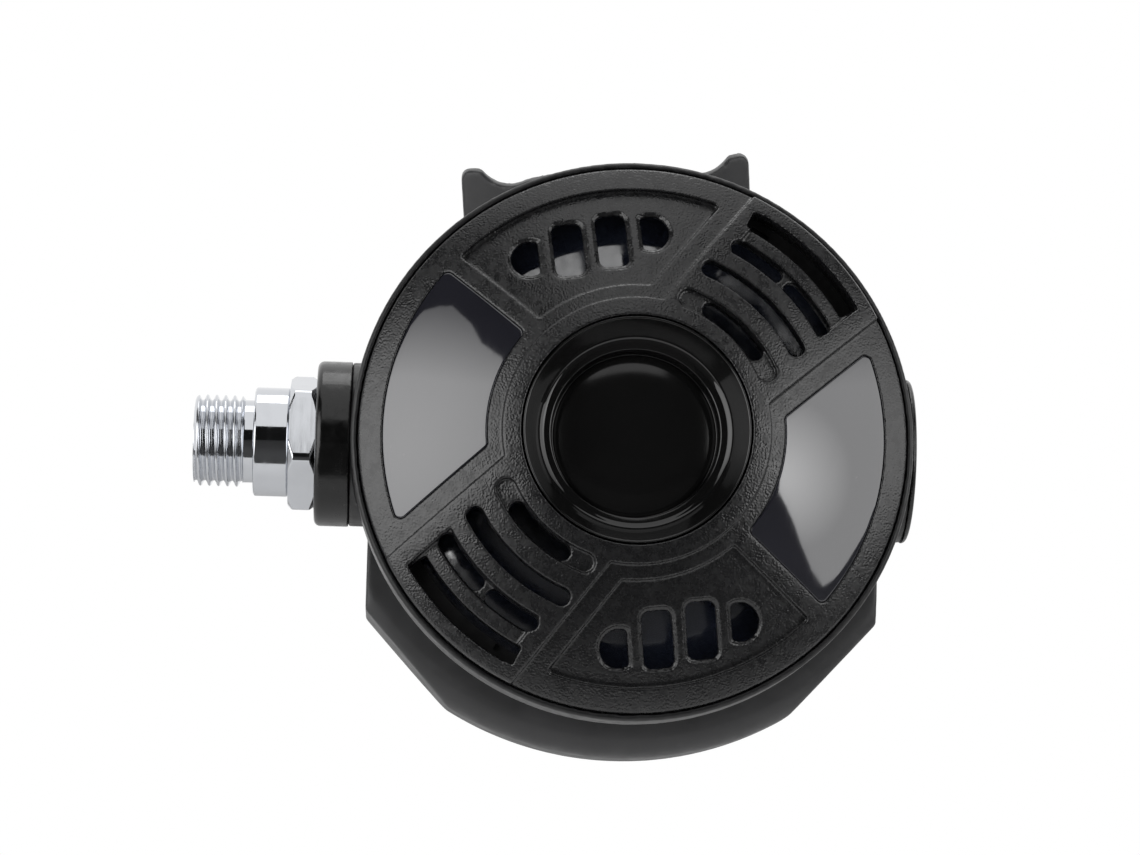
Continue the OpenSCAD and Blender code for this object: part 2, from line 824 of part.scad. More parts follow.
module end_cap() {
    color(black) difference() {
        along(boss_x + fit) {
            round_disc(collar_r, cap_t, cap_t * 0.8);
            translate([0, 0, -(boss_x - pad_x) - 4]) cylinder(r = barrel_r, h = boss_x - pad_x + 4.5);
        }
        along(seal_x) seal_groove();
    }
}

// groove for a round seal, centred on z = 0
module seal_groove() {
    translate([0, 0, -0.8]) tube(barrel_r + 1, barrel_r + part - 2 * fit - 2 * seal_r, 1.6);
}

module cap_nut() {
    color(black) along(pad_x - part - cap_nut_t) difference() {
        cylinder(r = pad_r, h = cap_nut_t, $fn = 6);
        translate([0, 0, -1]) cylinder(r = barrel_r + fit, h = cap_nut_t + 2);
    }
}

// ---------------------------------------------------------------- valve

module valve_barrel() {
    color(chrome) difference() {
        union() {
            along(barrel_start) cylinder(r = barrel_r, h = barrel_end - barrel_start);
            along(shoulder_x + 0.1) cylinder(r = pad_r - 0.6, h = 2);
        }
        along(barrel_start - 1) cylinder(r = bore_r + fit, h = barrel_end - end_wall - barrel_start + 1);
        along(0) cylinder(r = stem_r + run, h = barrel_end + 5);
        along(-seal_x) seal_groove();
        // air outlet towards the mouth
        translate([case_x - 2, 0, 0]) rotate([-90, 0, 0]) cylinder(r = 2.8, h = 20);
    }
}

// round seals of the barrel and of the end cap, alike
module barrel_seals() {
    color(rubber) for (s = [-1, 1]) along(s * seal_x) rotate_extrude()
        translate([barrel_r + part - fit - seal_r, 0]) circle(seal_r);
}

module orifice() {
    len = orifice_len;
    nose = 2.4;
    color(brass) along(-seat_x) rotate([180, 0, 0]) difference() {
        union() {
            translate([0, 0, nose]) cylinder(r = bore_r - fit, h = len - nose);
            cylinder(r1 = 1.9, r2 = 2.6, h = nose + 0.1);
        }
        translate([0, 0, 5]) tube(bore_r + 1, bore_r - 1.25, 1.5);
        translate([0, 0, -1]) cylinder(r = 1.4, h = len + 2);
        translate([0, 0, len - 6]) cylinder(r = 2.6, h = 7);
    }
}

module orifice_seal() {
    color(rubber) along(-seat_x - 5.75) rotate_extrude() translate([bore_r - 0.66, 0]) circle(0.58);
}

module poppet() {
    stem_end = nut_x + 3.4;
    color(brass) difference() {
        union() {
            along(head_x) intersection() {
                cylinder(r = bore_r - run + fit, h = head_len);
                cylinder(r = bore_r + 0.55, h = head_len, $fn = 3);
            }
            along(head_x) cylinder(r = stem_r, h = stem_end - head_x);
        }
        along(head_x - 1) cylinder(r = 0.9, h = 1.9);
    }
}

module poppet_rubber() {
    color(rubber) along(rubber_x) {
        cylinder(r = 2.9, h = rubber_t);
        cylinder(r = 0.9 - fit, h = rubber_t + 0.8);
    }
}

module poppet_spring() {
    r = (stem_r + bore_r) / 2;
    color(steel) along(spring_x)
        coil("poppet spring", r, r, poppet_wire_r, spring_end - spring_x, poppet_turns);
}

// Bent sheet-metal lever, drawn from the side in the plane of the valve axis and the case axis.
// Its arm slopes so that it lies flat under the plate when the button is fully down.
module demand_lever() {
    knee = tip_h - tip_bump - purge_travel;
    slope = purge_travel / lever_arm;
    near_tip = knee + slope * (lever_arm - 1.5);
    color(steel) translate([case_x, 0, 0]) difference() {
        intersection() {
            translate([0, 0, -lever_w / 2]) linear_extrude(lever_w) polygon(concat(
                [[fork_x, fork_reach], [fork_x + lever_t, fork_reach], [fork_x + lever_t, -knee + 0.6],
                 [fork_x + lever_t - 0.6, -knee], [fork_x, -knee], [1.5, -near_tip]],
                arc(0, -tip_h + 1.2, 1.2, 285, 160, 5),
                [[1.5, -near_tip + lever_t], [fork_x, -knee + lever_t]]
            ));
            rotate([90, 0, 0]) translate([0, 0, -10]) linear_extrude(30) polygon([
                [-4, -tip_w / 2], [fork_x - 4, -lever_w / 2], [fork_x + 4, -lever_w / 2],
                [fork_x + 4, lever_w / 2], [fork_x - 4, lever_w / 2], [-4, tip_w / 2]]);
        }
        // slot of the fork, which straddles the poppet's stem
        translate([fork_x - 1, -stem_r - 1.2, -stem_r - 0.4])
            cube([lever_t + 2, fork_reach + stem_r + 3, 2 * stem_r + 0.8]);
    }
}

module lever_washer() {
    color(steel) along(collar_washer_x) tube(3.4, stem_r + fit, 0.5);
}

module lock_nut() {
    color(steel) along(nut_x) difference() {
        cylinder(r = 3.1, h = 2.6, $fn = 6);
        translate([0, 0, -1]) cylinder(r = stem_r + fit, h = 5);
    }
}

// clip-on vane that throws the air towards the mouth tube
module venturi_vane() {
    color(black) difference() {
        union() {
            along(-vane_len + 4) cylinder(r = barrel_r + 1.4, h = vane_len);
            for (z = [4, -4 - vane_t]) translate([case_x - vane_len + 5, 2, z])
                rotate([20, 0, 0]) cube([vane_len - 2, vane_reach, vane_t]);
        }
        along(-vane_len + 3) cylinder(r = barrel_r + run, h = vane_len + 2);
        translate([case_x - vane_len + 3, -20, -20]) cube([vane_len + 2, 18, 40]);
        translate([case_x - 5.2, 3, -3]) cube([6.4, vane_reach, 6]);
    }
}

// ---------------------------------------------------------------- exhaust

module exhaust_flap() {
    color(rubber) port() {
        translate([0, 0, port_h - fit - flap_t]) cylinder(r = flap_r, h = flap_t);
        translate([0, 0, port_h - flap_t])
            cylinder(r = flap_stem_r, h = hub_h + hub_t + flap_lift + knob_h - port_h);
        translate([0, 0, hub_h + hub_t + flap_lift + part])
            cylinder(r1 = flap_stem_r + 0.7, r2 = flap_stem_r - 0.3, h = knob_h);
    }
}

// front outline of the tee's body, drawn in by inset but open at its ends
module tee_outline(inset, half) {
    top = -tee_top - inset;
    end = top - (outlet_top - tee_top) * (half - tee_flat) / (tee_half - tee_flat);
    low = -outlet_top - outlet_h + tee_slant * (half - tee_half) + inset * sqrt(1 + pow(tee_slant, 2));
    foot = half - tee_flat;
    polygon([[-half, end], [-tee_flat, top], [tee_flat, top], [half, end], [half, low],
             [tee_flat, low - tee_slant * foot], [-tee_flat, low - tee_slant * foot], [-half, low]]);
}

module tee_body(inset, half) {
    intersection() {
        forward() translate([0, 0, -tee_front - tee_depth + inset]) intersection() {
            linear_extrude(tee_depth - 2 * inset) tee_outline(inset, half);
            translate([0, tee_r - tee_drop, tee_depth / 2 - inset])
                lens(tee_r - inset, tee_depth - 2 * inset, tee_round - inset);
        }
        translate([case_x - 60, tee_front + inset, -60]) rotate([90, 0, 90])
            linear_extrude(120) side_outline(inset);
    }
}

// disc centred on z = 0 with both edges rounded
module lens(r, h, edge) {
    rotate_extrude() intersection() {
        translate([0, -h / 2]) square([r + 1, h]);
        union() {
            translate([0, -h / 2]) square([r - edge, h]);
            translate([0, -h / 2 + edge]) square([r, h - 2 * edge]);
            for (s = [-1, 1]) translate([r - edge, s * (h / 2 - edge)]) circle(edge);
        }
    }
}

module side_outline(inset) {
    w = tee_depth - 2 * inset;
    e = tee_round - inset;
    top = 60 - tee_top - inset;
    square([w, top - e]);
    square([w - e, top]);
    translate([w - e, top - e]) circle(e);
}

module exhaust_tee() {
    color(satin) difference() {
        translate([tee_shift, 0, 0]) difference() {
            tee_body(0, tee_half);
            tee_body(tee_wall, tee_half + 5);
        }
        port() translate([0, 0, -case_back - 5]) cylinder(r = port_r + port_wall + fit, h = 10);
    }
}

// ---------------------------------------------------------------- mouthpiece

// face outline of the flange: a horn at each corner, a valley beside it and a wide hump between
module flange_outline() {
    hump_r = (pow(valley_x, 2) + pow(valley_d, 2)) / (2 * valley_d);
    difference() {
        round_rect(2 * flange_half, 2 * horn_half, horn_r);
        for (x = [-1, 1], y = [-1, 1])
            translate([x * valley_x, y * (horn_half - valley_d + valley_r)]) circle(valley_r);
        for (y = [-1, 1]) difference() {
            translate([1 - valley_x, y > 0 ? 0 : -horn_half - 1]) square([2 * valley_x - 2, horn_half + 1]);
            translate([0, y * (horn_half - hump_r)]) circle(hump_r);
        }
    }
}

module flange() {
    rotate([0, 0, -flange_turn]) intersection() {
        linear_extrude(40) flange_outline();
        translate([0, 50, flange_bend]) rotate([90, 0, 0]) tube(flange_bend, flange_bend - flange_t, 100);
    }
}

module bite_tab(side, level) {
    translate([side * 14, level * 7.5, flange_t / 2 + 1.6]) {
        translate([0, 0, 6]) cube([12, 2.6, 13], center = true);
        translate([-6, 0, 11]) rotate([0, 90, 0]) cylinder(r = 2, h = 12);
    }
}

module mouthpiece() {
    inner_w = tube_w + 1.2 + 2 * part;
    inner_h = tube_h + 1.2 + 2 * part;
    air_w = tube_w - 2 * tube_wall - 4;
    air_h = tube_h - 2 * tube_wall - 2;
    color(rubber) mouth() difference() {
        union() {
            translate([0, 0, boot_start]) linear_extrude(tube_len + 2 - boot_start) stadium(boot_w, boot_h);
            translate([0, 0, boot_start]) linear_extrude(flange_reach + 1 - boot_start)
                stadium(air_w + 2 * lip_wall + 2, air_h + 2 * lip_wall + 2);
            translate([-flange_shift, 0, flange_reach]) flange();
            for (s = [-1, 1], l = [-1, 1])
                translate([0, 0, flange_reach]) rotate([0, 0, -flange_turn]) bite_tab(s, l);
        }
        translate([0, 0, boot_start - 1]) linear_extrude(tube_len + part - boot_start + 1)
            stadium(inner_w, inner_h);
        linear_extrude(flange_reach + 6) stadium(air_w, air_h);
    }
}

module mouthpiece_band() {
    mid = boot_start + 2;
    color(black) mouth() translate([0, 0, mid]) difference() {
        union() {
            linear_extrude(band_w) stadium(boot_w + 2 * part + 2.4, boot_h + 2 * part + 2.4);
            translate([-4, boot_h / 2, 0]) cube([8, 4.4, band_w]);
        }
        translate([0, 0, -1]) linear_extrude(band_w + 2) stadium(boot_w + 2 * part, boot_h + 2 * part);
    }
}

case();
front_cover();
cover_panels();
purge_button();
purge_inlay();
purge_spring();
purge_clip();
clamp_ring();
slip_washer();
diaphragm();
diaphragm_plate();
inlet_fitting();
inlet_collar();
valve_barrel();
barrel_seals();
orifice();
orifice_seal();
poppet();
poppet_rubber();
poppet_spring();
demand_lever();
lever_washer();
lock_nut();
end_cap();
cap_nut();
venturi_vane();
exhaust_flap();
exhaust_tee();
mouthpiece();
mouthpiece_band();
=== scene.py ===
"""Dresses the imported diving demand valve: softened mouldings, a cut thread and the finishes."""

import math

import bmesh
import bpy
import numpy as np
from bpy.props import FloatProperty, FloatVectorProperty, IntProperty, PointerProperty
from bpy.types import Operator, Panel, PropertyGroup
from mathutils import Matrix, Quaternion, Vector


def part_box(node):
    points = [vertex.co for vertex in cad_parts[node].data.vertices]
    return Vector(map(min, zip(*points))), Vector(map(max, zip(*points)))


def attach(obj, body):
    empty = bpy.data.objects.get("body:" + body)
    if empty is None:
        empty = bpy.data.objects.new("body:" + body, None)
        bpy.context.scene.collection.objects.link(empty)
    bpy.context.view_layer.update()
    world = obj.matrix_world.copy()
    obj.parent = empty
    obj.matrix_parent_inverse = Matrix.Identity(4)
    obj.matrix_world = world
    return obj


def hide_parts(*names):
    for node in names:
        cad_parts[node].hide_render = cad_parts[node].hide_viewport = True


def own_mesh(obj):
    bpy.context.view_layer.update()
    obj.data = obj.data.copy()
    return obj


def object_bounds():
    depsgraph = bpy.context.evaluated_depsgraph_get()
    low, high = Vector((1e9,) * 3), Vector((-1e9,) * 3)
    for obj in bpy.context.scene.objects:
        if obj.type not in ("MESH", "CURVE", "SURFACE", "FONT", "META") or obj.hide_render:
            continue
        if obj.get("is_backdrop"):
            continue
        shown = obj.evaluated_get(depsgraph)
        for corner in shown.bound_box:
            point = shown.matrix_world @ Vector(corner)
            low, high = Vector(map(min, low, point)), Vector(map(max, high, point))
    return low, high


bl_info = {
    "name": "Diving demand valve",
    "version": (1, 0, 0),
    "blender": (4, 5, 0),
    "location": "3D View > Sidebar > Demand valve",
    "description": "Builds the dressed pieces and the finishes of a diving demand valve",
    "category": "Object",
}

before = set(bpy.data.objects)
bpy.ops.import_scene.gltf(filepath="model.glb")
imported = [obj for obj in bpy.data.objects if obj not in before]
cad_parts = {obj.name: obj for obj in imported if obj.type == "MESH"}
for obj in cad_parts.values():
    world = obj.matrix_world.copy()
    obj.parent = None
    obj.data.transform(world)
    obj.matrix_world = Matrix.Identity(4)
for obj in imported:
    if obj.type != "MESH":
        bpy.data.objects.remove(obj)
CAD_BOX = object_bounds()

MM = 0.001
TURN = 2 * math.pi
CASE_X = sum(corner.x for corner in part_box("purge_button")) / 2
WELD = 2e-6  # points of a CAD mesh that are closer than this are one
INSIDE = 0.98  # a spring's wire against its solid's, so that it stays in the CAD box


# ------------------------------------------------------------------ sizes and colours


class ValveSizes(PropertyGroup):
    """Sizes of the dressed pieces that a user may change."""

    cover_voxel: FloatProperty(
        name="Cover mesh size",
        description="Spacing of the mesh that the front cover is softened at",
        default=0.2 * MM,
        min=0.15 * MM,
        unit="LENGTH",
    )
    cover_passes: IntProperty(
        name="Cover softening",
        description="Smoothing passes over the front cover's edges",
        default=3,
        min=0,
    )
    thread_pitch: FloatProperty(
        name="Thread pitch",
        description="Distance between two crests of the hose thread",
        default=25.4 * MM / 18,
        unit="LENGTH",
    )
    thread_depth: FloatProperty(
        name="Thread depth",
        description="Depth of the hose thread's groove",
        default=0.87 * MM,
        unit="LENGTH",
    )


class ValveColours(PropertyGroup):
    """Colours of the finishes that a user may change."""

    cover: FloatVectorProperty(
        name="Cover",
        description="Grained plastic of the front cover",
        subtype="COLOR",
        default=(0.0045, 0.0045, 0.005),
        min=0,
        max=1,
    )
    gloss: FloatVectorProperty(
        name="Gloss",
        description="Polished plastic of the panels",
        subtype="COLOR",
        default=(0.012, 0.012, 0.016),
        min=0,
        max=1,
    )
    button: FloatVectorProperty(
        name="Button",
        description="Polished plastic of the purge button",
        subtype="COLOR",
        default=(0.0045, 0.0045, 0.0045),
        min=0,
        max=1,
    )
    case: FloatVectorProperty(
        name="Case",
        description="Satin plastic of the case and its rim",
        subtype="COLOR",
        default=(0.006, 0.006, 0.0065),
        min=0,
        max=1,
    )
    rubber: FloatVectorProperty(
        name="Rubber",
        description="Rubber of the exhaust tee",
        subtype="COLOR",
        default=(0.022, 0.022, 0.023),
        min=0,
        max=1,
    )
    silicone: FloatVectorProperty(
        name="Silicone",
        description="Black silicone of the mouthpiece",
        subtype="COLOR",
        default=(0.02, 0.02, 0.021),
        min=0,
        max=1,
    )
    diaphragm: FloatVectorProperty(
        name="Diaphragm",
        description="Bluish silicone of the diaphragm",
        subtype="COLOR",
        default=(0.012, 0.015, 0.026),
        min=0,
        max=1,
    )


# ------------------------------------------------------------------ shaping


def built(name, verts, faces, weld=1e-7):
    """Object from points and faces, welded, with its normals outward and smooth."""
    mesh = bpy.data.meshes.new(name)
    mesh.from_pydata([tuple(v) for v in verts], [], faces)
    bm = bmesh.new()
    bm.from_mesh(mesh)
    bmesh.ops.remove_doubles(bm, verts=bm.verts, dist=weld)
    bmesh.ops.recalc_face_normals(bm, faces=bm.faces)
    for face in bm.faces:
        face.smooth = True
    bm.to_mesh(mesh)
    bm.free()
    obj = bpy.data.objects.new(name, mesh)
    bpy.context.scene.collection.objects.link(obj)
    return obj


def copy_of(node, name):
    """Welded copy of a CAD node's solid."""
    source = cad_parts[node].data
    return built(
        name,
        [v.co for v in source.vertices],
        [list(p.vertices) for p in source.polygons],
        WELD,
    )


def settle(obj):
    """Turns an object's modifiers into plain mesh."""
    graph = bpy.context.evaluated_depsgraph_get()
    mesh = bpy.data.meshes.new_from_object(obj.evaluated_get(graph))
    obj.modifiers.clear()
    obj.data = mesh
    mesh.polygons.foreach_set("use_smooth", [True] * len(mesh.polygons))


def soften(node, name, voxel, passes, most):
    """Copy of a CAD node with every edge rounded, as a mould does, and at most that many quads."""
    obj = copy_of(node, name)
    remesh = obj.modifiers.new("remesh", "REMESH")
    remesh.mode = "VOXEL"
    remesh.voxel_size = voxel
    smooth = obj.modifiers.new("smooth", "SMOOTH")
    smooth.factor = 0.5
    smooth.iterations = passes
    settle(obj)
    faces = len(obj.data.polygons)
    if faces > most:
        thin = obj.modifiers.new("thin", "DECIMATE")
        thin.ratio = most / faces
        settle(obj)
    return obj


def filleted(corners, steps):
    """Closed outline through (x, y, radius) corners, each one turned to an arc of its radius."""
    out = []
    count = len(corners)
    for i, (x, y, radius) in enumerate(corners):
        here = Vector((x, y))
        before = Vector(corners[i - 1][:2]) - here
        after = Vector(corners[(i + 1) % count][:2]) - here
        opening = before.angle(after) if before.length and after.length else math.pi
        if radius <= 0 or opening > math.pi - 0.01:
            out.append(here)
            continue
        reach = min(radius / math.tan(opening / 2), 0.49 * before.length, 0.49 * after.length)
        fitted = reach * math.tan(opening / 2)
        u, v = before.normalized(), after.normalized()
        centre = here + (u + v).normalized() * fitted / math.sin(opening / 2)
        first, last = here + u * reach - centre, here + v * reach - centre
        a0 = math.atan2(first.y, first.x)
        sweep = (math.atan2(last.y, last.x) - a0 + math.pi) % TURN - math.pi
        for k in range(steps + 1):
            a = a0 + sweep * k / steps
            out.append(centre + fitted * Vector((math.cos(a), math.sin(a))))
    return out


def forward(x, y, height):
    """Point in front of the valve axis, from the case axis, in millimetres."""
    return (CASE_X + x * MM, -height * MM, y * MM)


def lathe(name, profile, place, steps):
    """Solid of revolution of a closed (radius, height) profile."""
    verts, faces = [], []
    rows = len(profile)
    for j in range(steps):
        c, s = math.cos(TURN * j / steps), math.sin(TURN * j / steps)
        verts += [place(r * c, r * s, h) for r, h in profile]
    for j in range(steps):
        for i in range(rows):
            a, b = j * rows, (j + 1) % steps * rows
            m = (i + 1) % rows
            if max(abs(profile[i][0]), abs(profile[m][0])) > 1e-6:
                faces.append((a + i, a + m, b + m, b + i))
    obj = built(name, verts, faces)
    clean(obj)
    return obj


def clean(obj):
    """Drops faces that a weld has left without area."""
    bm = bmesh.new()
    bm.from_mesh(obj.data)
    bmesh.ops.dissolve_degenerate(bm, edges=bm.edges, dist=1e-7)
    bm.to_mesh(obj.data)
    bm.free()


def sharp_by_angle(obj, degrees, start):
    """Keeps edges steeper than that angle crisp in the shading, from x = start on."""
    limit = math.radians(degrees)
    bm = bmesh.new()
    bm.from_mesh(obj.data)
    for edge in bm.edges:
        if min(v.co.x for v in edge.verts) < start or len(edge.link_faces) != 2:
            continue
        if edge.calc_face_angle(0) > limit:
            edge.smooth = False
    bm.to_mesh(obj.data)
    bm.free()


def wire_coil(name, points, radius):
    """Round wire along a list of points, with closed ends."""
    sides = 10
    verts, faces = [], []
    count = len(points)
    for i, p in enumerate(points):
        ahead = points[min(i + 1, count - 1)] - points[max(i - 1, 0)]
        turn = ahead.to_track_quat("Z", "Y")
        for k in range(sides):
            a = TURN * k / sides
            verts.append(p + turn @ Vector((radius * math.cos(a), radius * math.sin(a), 0)))
    for i in range(count - 1):
        for k in range(sides):
            m = (k + 1) % sides
            faces.append((i * sides + k, i * sides + m, (i + 1) * sides + m, (i + 1) * sides + k))
    faces.append(tuple(range(sides)))
    faces.append(tuple((count - 1) * sides + k for k in range(sides)))
    return built(name, verts, faces)


def dress(obj, finish, body, slot, *nodes):
    """Gives a piece its finish, its body and the nodes that it stands for; the slot is not used.
    """
    obj.data.materials.clear()
    obj.data.materials.append(finish)
    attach(obj, body)
    if nodes:
        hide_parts(*nodes)
    return obj


def dress_node(node, finish):
    """Gives a CAD node that stays its finish."""
    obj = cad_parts[node]
    obj.data.materials.clear()
    obj.data.materials.append(finish)


# ------------------------------------------------------------------ finishes


class Finish:
    """One procedural material, built node by node on a Principled shader."""

    def __init__(self, name, colour, roughness, metallic=0.0, **sockets):
        self.material = bpy.data.materials.new(name)
        self.material.use_nodes = True
        self.nodes = self.material.node_tree.nodes
        self.links = self.material.node_tree.links
        self.shader = self.nodes["Principled BSDF"]
        self.shader.inputs["Base Color"].default_value = (*colour, 1)
        self.shader.inputs["Roughness"].default_value = roughness
        self.shader.inputs["Metallic"].default_value = metallic
        for socket, value in sockets.items():
            self.shader.inputs[socket.replace("_", " ")].default_value = value
        self.place = self.nodes.new("ShaderNodeTexCoord").outputs["Object"]
        self.bump = None

    def stretched(self, scale, lean=0.0):
        """Unevenly scaled coordinates for drawn finishes, leaning in the cover's plane."""
        mapping = self.nodes.new("ShaderNodeMapping")
        mapping.inputs["Scale"].default_value = scale
        mapping.inputs["Rotation"].default_value = (0, math.radians(lean), 0)
        self.links.new(self.place, mapping.inputs["Vector"])
        return mapping.outputs["Vector"]

    def noise(self, size, detail=2.0, rough=0.5, place=None):
        """Noise whose blobs are about size metres across."""
        node = self.nodes.new("ShaderNodeTexNoise")
        node.inputs["Scale"].default_value = 1 / size
        node.inputs["Detail"].default_value = detail
        node.inputs["Roughness"].default_value = rough
        self.links.new(place or self.place, node.inputs["Vector"])
        return node.outputs["Fac"]

    def cells(self, size, place=None):
        """Distance to the middle of cells about size metres across."""
        node = self.nodes.new("ShaderNodeTexVoronoi")
        node.inputs["Scale"].default_value = 1 / size
        self.links.new(place or self.place, node.inputs["Vector"])
        return node.outputs["Distance"]

    def ranged(self, value, low, high, to_low, to_high):
        """Value mapped from one range to another and held inside it."""
        node = self.nodes.new("ShaderNodeMapRange")
        for socket, number in zip(
            ("From Min", "From Max", "To Min", "To Max"), (low, high, to_low, to_high)
        ):
            node.inputs[socket].default_value = number
        self.links.new(value, node.inputs["Value"])
        return node.outputs["Result"]

    def times(self, value, factor):
        """A value multiplied by a number."""
        node = self.nodes.new("ShaderNodeMath")
        node.operation = "MULTIPLY"
        self.links.new(value, node.inputs[0])
        node.inputs[1].default_value = factor
        return node.outputs[0]

    def tint(self, factor, colour):
        """Mixes a colour into the base colour where factor is high."""
        node = self.nodes.new("ShaderNodeMix")
        node.data_type = "RGBA"
        self.links.new(factor, node.inputs[0])
        base = self.shader.inputs["Base Color"]
        if base.is_linked:
            self.links.new(base.links[0].from_socket, node.inputs[6])
        else:
            node.inputs[6].default_value = base.default_value
        node.inputs[7].default_value = (*colour, 1)
        self.links.new(node.outputs[2], base)

    def rough(self, value):
        """Drives the roughness."""
        self.links.new(value, self.shader.inputs["Roughness"])

    def relief(self, height, depth, strength=1.0):
        """Adds relief of that depth in metres."""
        node = self.nodes.new("ShaderNodeBump")
        node.inputs["Strength"].default_value = strength
        node.inputs["Distance"].default_value = depth
        self.links.new(height, node.inputs["Height"])
        if self.bump:
            self.links.new(self.bump, node.inputs["Normal"])
        self.bump = node.outputs["Normal"]
        self.links.new(self.bump, self.shader.inputs["Normal"])


def paler(colour, factor):
    """A colour made lighter or darker."""
    return tuple(min(1, c * factor) for c in colour)


def grained_plastic(
    name, colour, roughness=0.26, grain=0.3 * MM, depth=0.05 * MM, ior=1.5, grain_glint=0.0
):
    """Moulded plastic with a fine grain; a glint weight above nought paints pale flecks into the
    colour, painted highlights standing in for light on the grain's peaks.
    """
    made = Finish(name, colour, roughness, IOR=ior)
    made.tint(made.ranged(made.noise(9 * MM), 0.35, 0.7, 0, 0.5), paler(colour, 1.5))
    made.tint(made.ranged(made.noise(0.9 * MM, 3), 0.55, 0.8, 0, 0.35), paler(colour, 1.9))
    # painted highlight: pale flecks in the base colour stand in for light glinting off the grain
    made.tint(made.ranged(made.noise(grain * 0.8, 1), 0.45, 0.75, 0, grain_glint), (0.04, 0.04, 0.041))
    specks = made.ranged(made.cells(2.6 * MM), 0.0, 0.05, 1, 0)
    made.tint(made.times(specks, 0.5), (0.16, 0.16, 0.15))
    made.rough(made.ranged(made.noise(1.4 * MM, 4), 0.3, 0.7, roughness - 0.07, roughness + 0.09))
    made.relief(made.noise(grain, 0), depth)
    return made.material


def gloss_plastic(name, colour, roughness, scuff, specks=3.2 * MM, ior=1.5, coat=0.0):
    """Polished plastic with fine scuffs, short scratches and a few specks of dust."""
    made = Finish(name, colour, roughness, IOR=ior, Coat_Weight=coat, Coat_Roughness=roughness)
    made.tint(made.ranged(made.noise(14 * MM), 0.4, 0.75, 0, 0.5), paler(colour, 1.7))
    dust = made.ranged(made.cells(specks), 0.0, 0.045, 1, 0)
    made.tint(made.times(dust, 0.6), (0.2, 0.19, 0.18))
    scuffs = made.noise(1.0, 5, 0.65, made.stretched((420, 420, 60)))
    made.rough(made.ranged(scuffs, 0.52, 0.78, roughness, roughness + scuff))
    for lean, size in ((58, 9 * MM), (-35, 11 * MM)):
        scratches = made.cells(size, place=made.stretched((1, 1, 0.12), lean))
        made.relief(made.ranged(scratches, 0.0, 0.016, 0, 1), 0.03 * MM, 0.1)
    made.relief(made.noise(5 * MM, 2), 0.02 * MM, 0.25)
    return made.material


def satin_rubber(name, colour, roughness, grain=0.25 * MM, ior=1.5):
    """Moulded rubber or silicone, softly mottled, with a faint bloom."""
    made = Finish(name, colour, roughness, Sheen_Weight=0.06, Sheen_Roughness=0.5, IOR=ior)
    made.tint(made.ranged(made.noise(12 * MM, 3), 0.35, 0.75, 0, 0.55), paler(colour, 1.6))
    made.tint(made.ranged(made.noise(2.2 * MM, 4), 0.6, 0.85, 0, 0.4), paler(colour, 2.0))
    made.rough(made.ranged(made.noise(3 * MM, 4), 0.3, 0.7, roughness - 0.08, roughness + 0.1))
    made.relief(made.noise(grain, 3), 0.012 * MM, 0.5)
    made.relief(made.noise(7 * MM, 2), 0.08 * MM, 0.2)
    return made.material


def bright_chrome(name):
    """Chromed brass with faint haze and turning marks."""
    colour, roughness = (0.64, 0.655, 0.685), 0.05
    made = Finish(name, colour, roughness, metallic=1.0)
    made.tint(made.ranged(made.noise(4 * MM, 3), 0.5, 0.8, 0, 0.5), paler(colour, 0.86))
    haze = made.noise(1.0, 4, 0.6, made.stretched((900, 90, 90)))
    made.rough(made.ranged(haze, 0.4, 0.8, roughness, roughness + 0.12))
    made.relief(made.noise(1.0, 2, 0.5, made.stretched((2200, 60, 60))), 0.004 * MM, 0.4)
    return made.material


def turned_metal(name, colour, roughness):
    """Machined metal with turning marks across the valve axis."""
    made = Finish(name, colour, roughness, metallic=1.0)
    made.tint(made.ranged(made.noise(5 * MM, 4), 0.45, 0.8, 0, 0.6), paler(colour, 0.7))
    made.rough(made.ranged(made.noise(0.8 * MM, 4), 0.3, 0.75, roughness - 0.06, roughness + 0.15))
    made.relief(made.noise(1.0, 3, 0.5, made.stretched((3000, 80, 80))), 0.006 * MM, 0.5)
    return made.material


# ------------------------------------------------------------------ pieces


class VALVE_OT_cover(Operator):
    """Builds the louvred front cover with its moulded edges"""

    bl_idname = "valve.cover"
    bl_label = "Front cover"

    def execute(self, context):
        sizes, colours = context.scene.valve_sizes, context.scene.valve_colours
        cover = soften("front_cover", "cover", sizes.cover_voxel, sizes.cover_passes, most=98000)
        # the cover's grain glints are painted into its colour as pale flecks, painted highlights
        finish = grained_plastic("cover_plastic", colours.cover, ior=1.6, grain_glint=0.3)
        dress(cover, finish, "housing", "cover_plastic", "front_cover")
        return {"FINISHED"}


def panel_loops():
    """Outlines of the gloss panels' outer faces, in the cover's plane, in millimetres."""
    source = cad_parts["cover_panels"].data
    mesh = bmesh.new()
    mesh.from_mesh(source)
    bmesh.ops.remove_doubles(mesh, verts=mesh.verts, dist=WELD)
    mesh.normal_update()
    rims = []
    for edge in mesh.edges:
        sides = [face.normal.y < -0.5 for face in edge.link_faces]
        if sum(sides) == 1:
            rims.append(tuple(v.index for v in edge.verts))
    flat = {v.index: Vector(((v.co.x - CASE_X) / MM, v.co.z / MM)) for v in mesh.verts}
    mesh.free()
    ahead = {}
    for a, b in rims:
        ahead.setdefault(a, []).append(b)
        ahead.setdefault(b, []).append(a)
    loops = []
    while ahead:
        start = next(iter(ahead))
        loop, here = [], start
        while here is not None:
            loop.append(flat[here])
            following = [n for n in ahead.pop(here) if n in ahead]
            here = following[0] if following else None
        loops.append(loop)
    return loops


def evenly(loop, spacing):
    """The same closed outline with points at an even spacing, anticlockwise."""
    area = sum(loop[i - 1].cross(loop[i]) for i in range(len(loop)))
    if area < 0:
        loop = loop[::-1]
    gaps = [(loop[i] - loop[i - 1]).length for i in range(len(loop))]
    count = max(8, round(sum(gaps) / spacing))
    step = sum(gaps) / count
    out, left = [], 0.0
    for i, gap in enumerate(gaps):
        while left <= gap and len(out) < count:
            out.append(loop[i - 1].lerp(loop[i], left / gap))
            left += step
        left -= gap
    return out


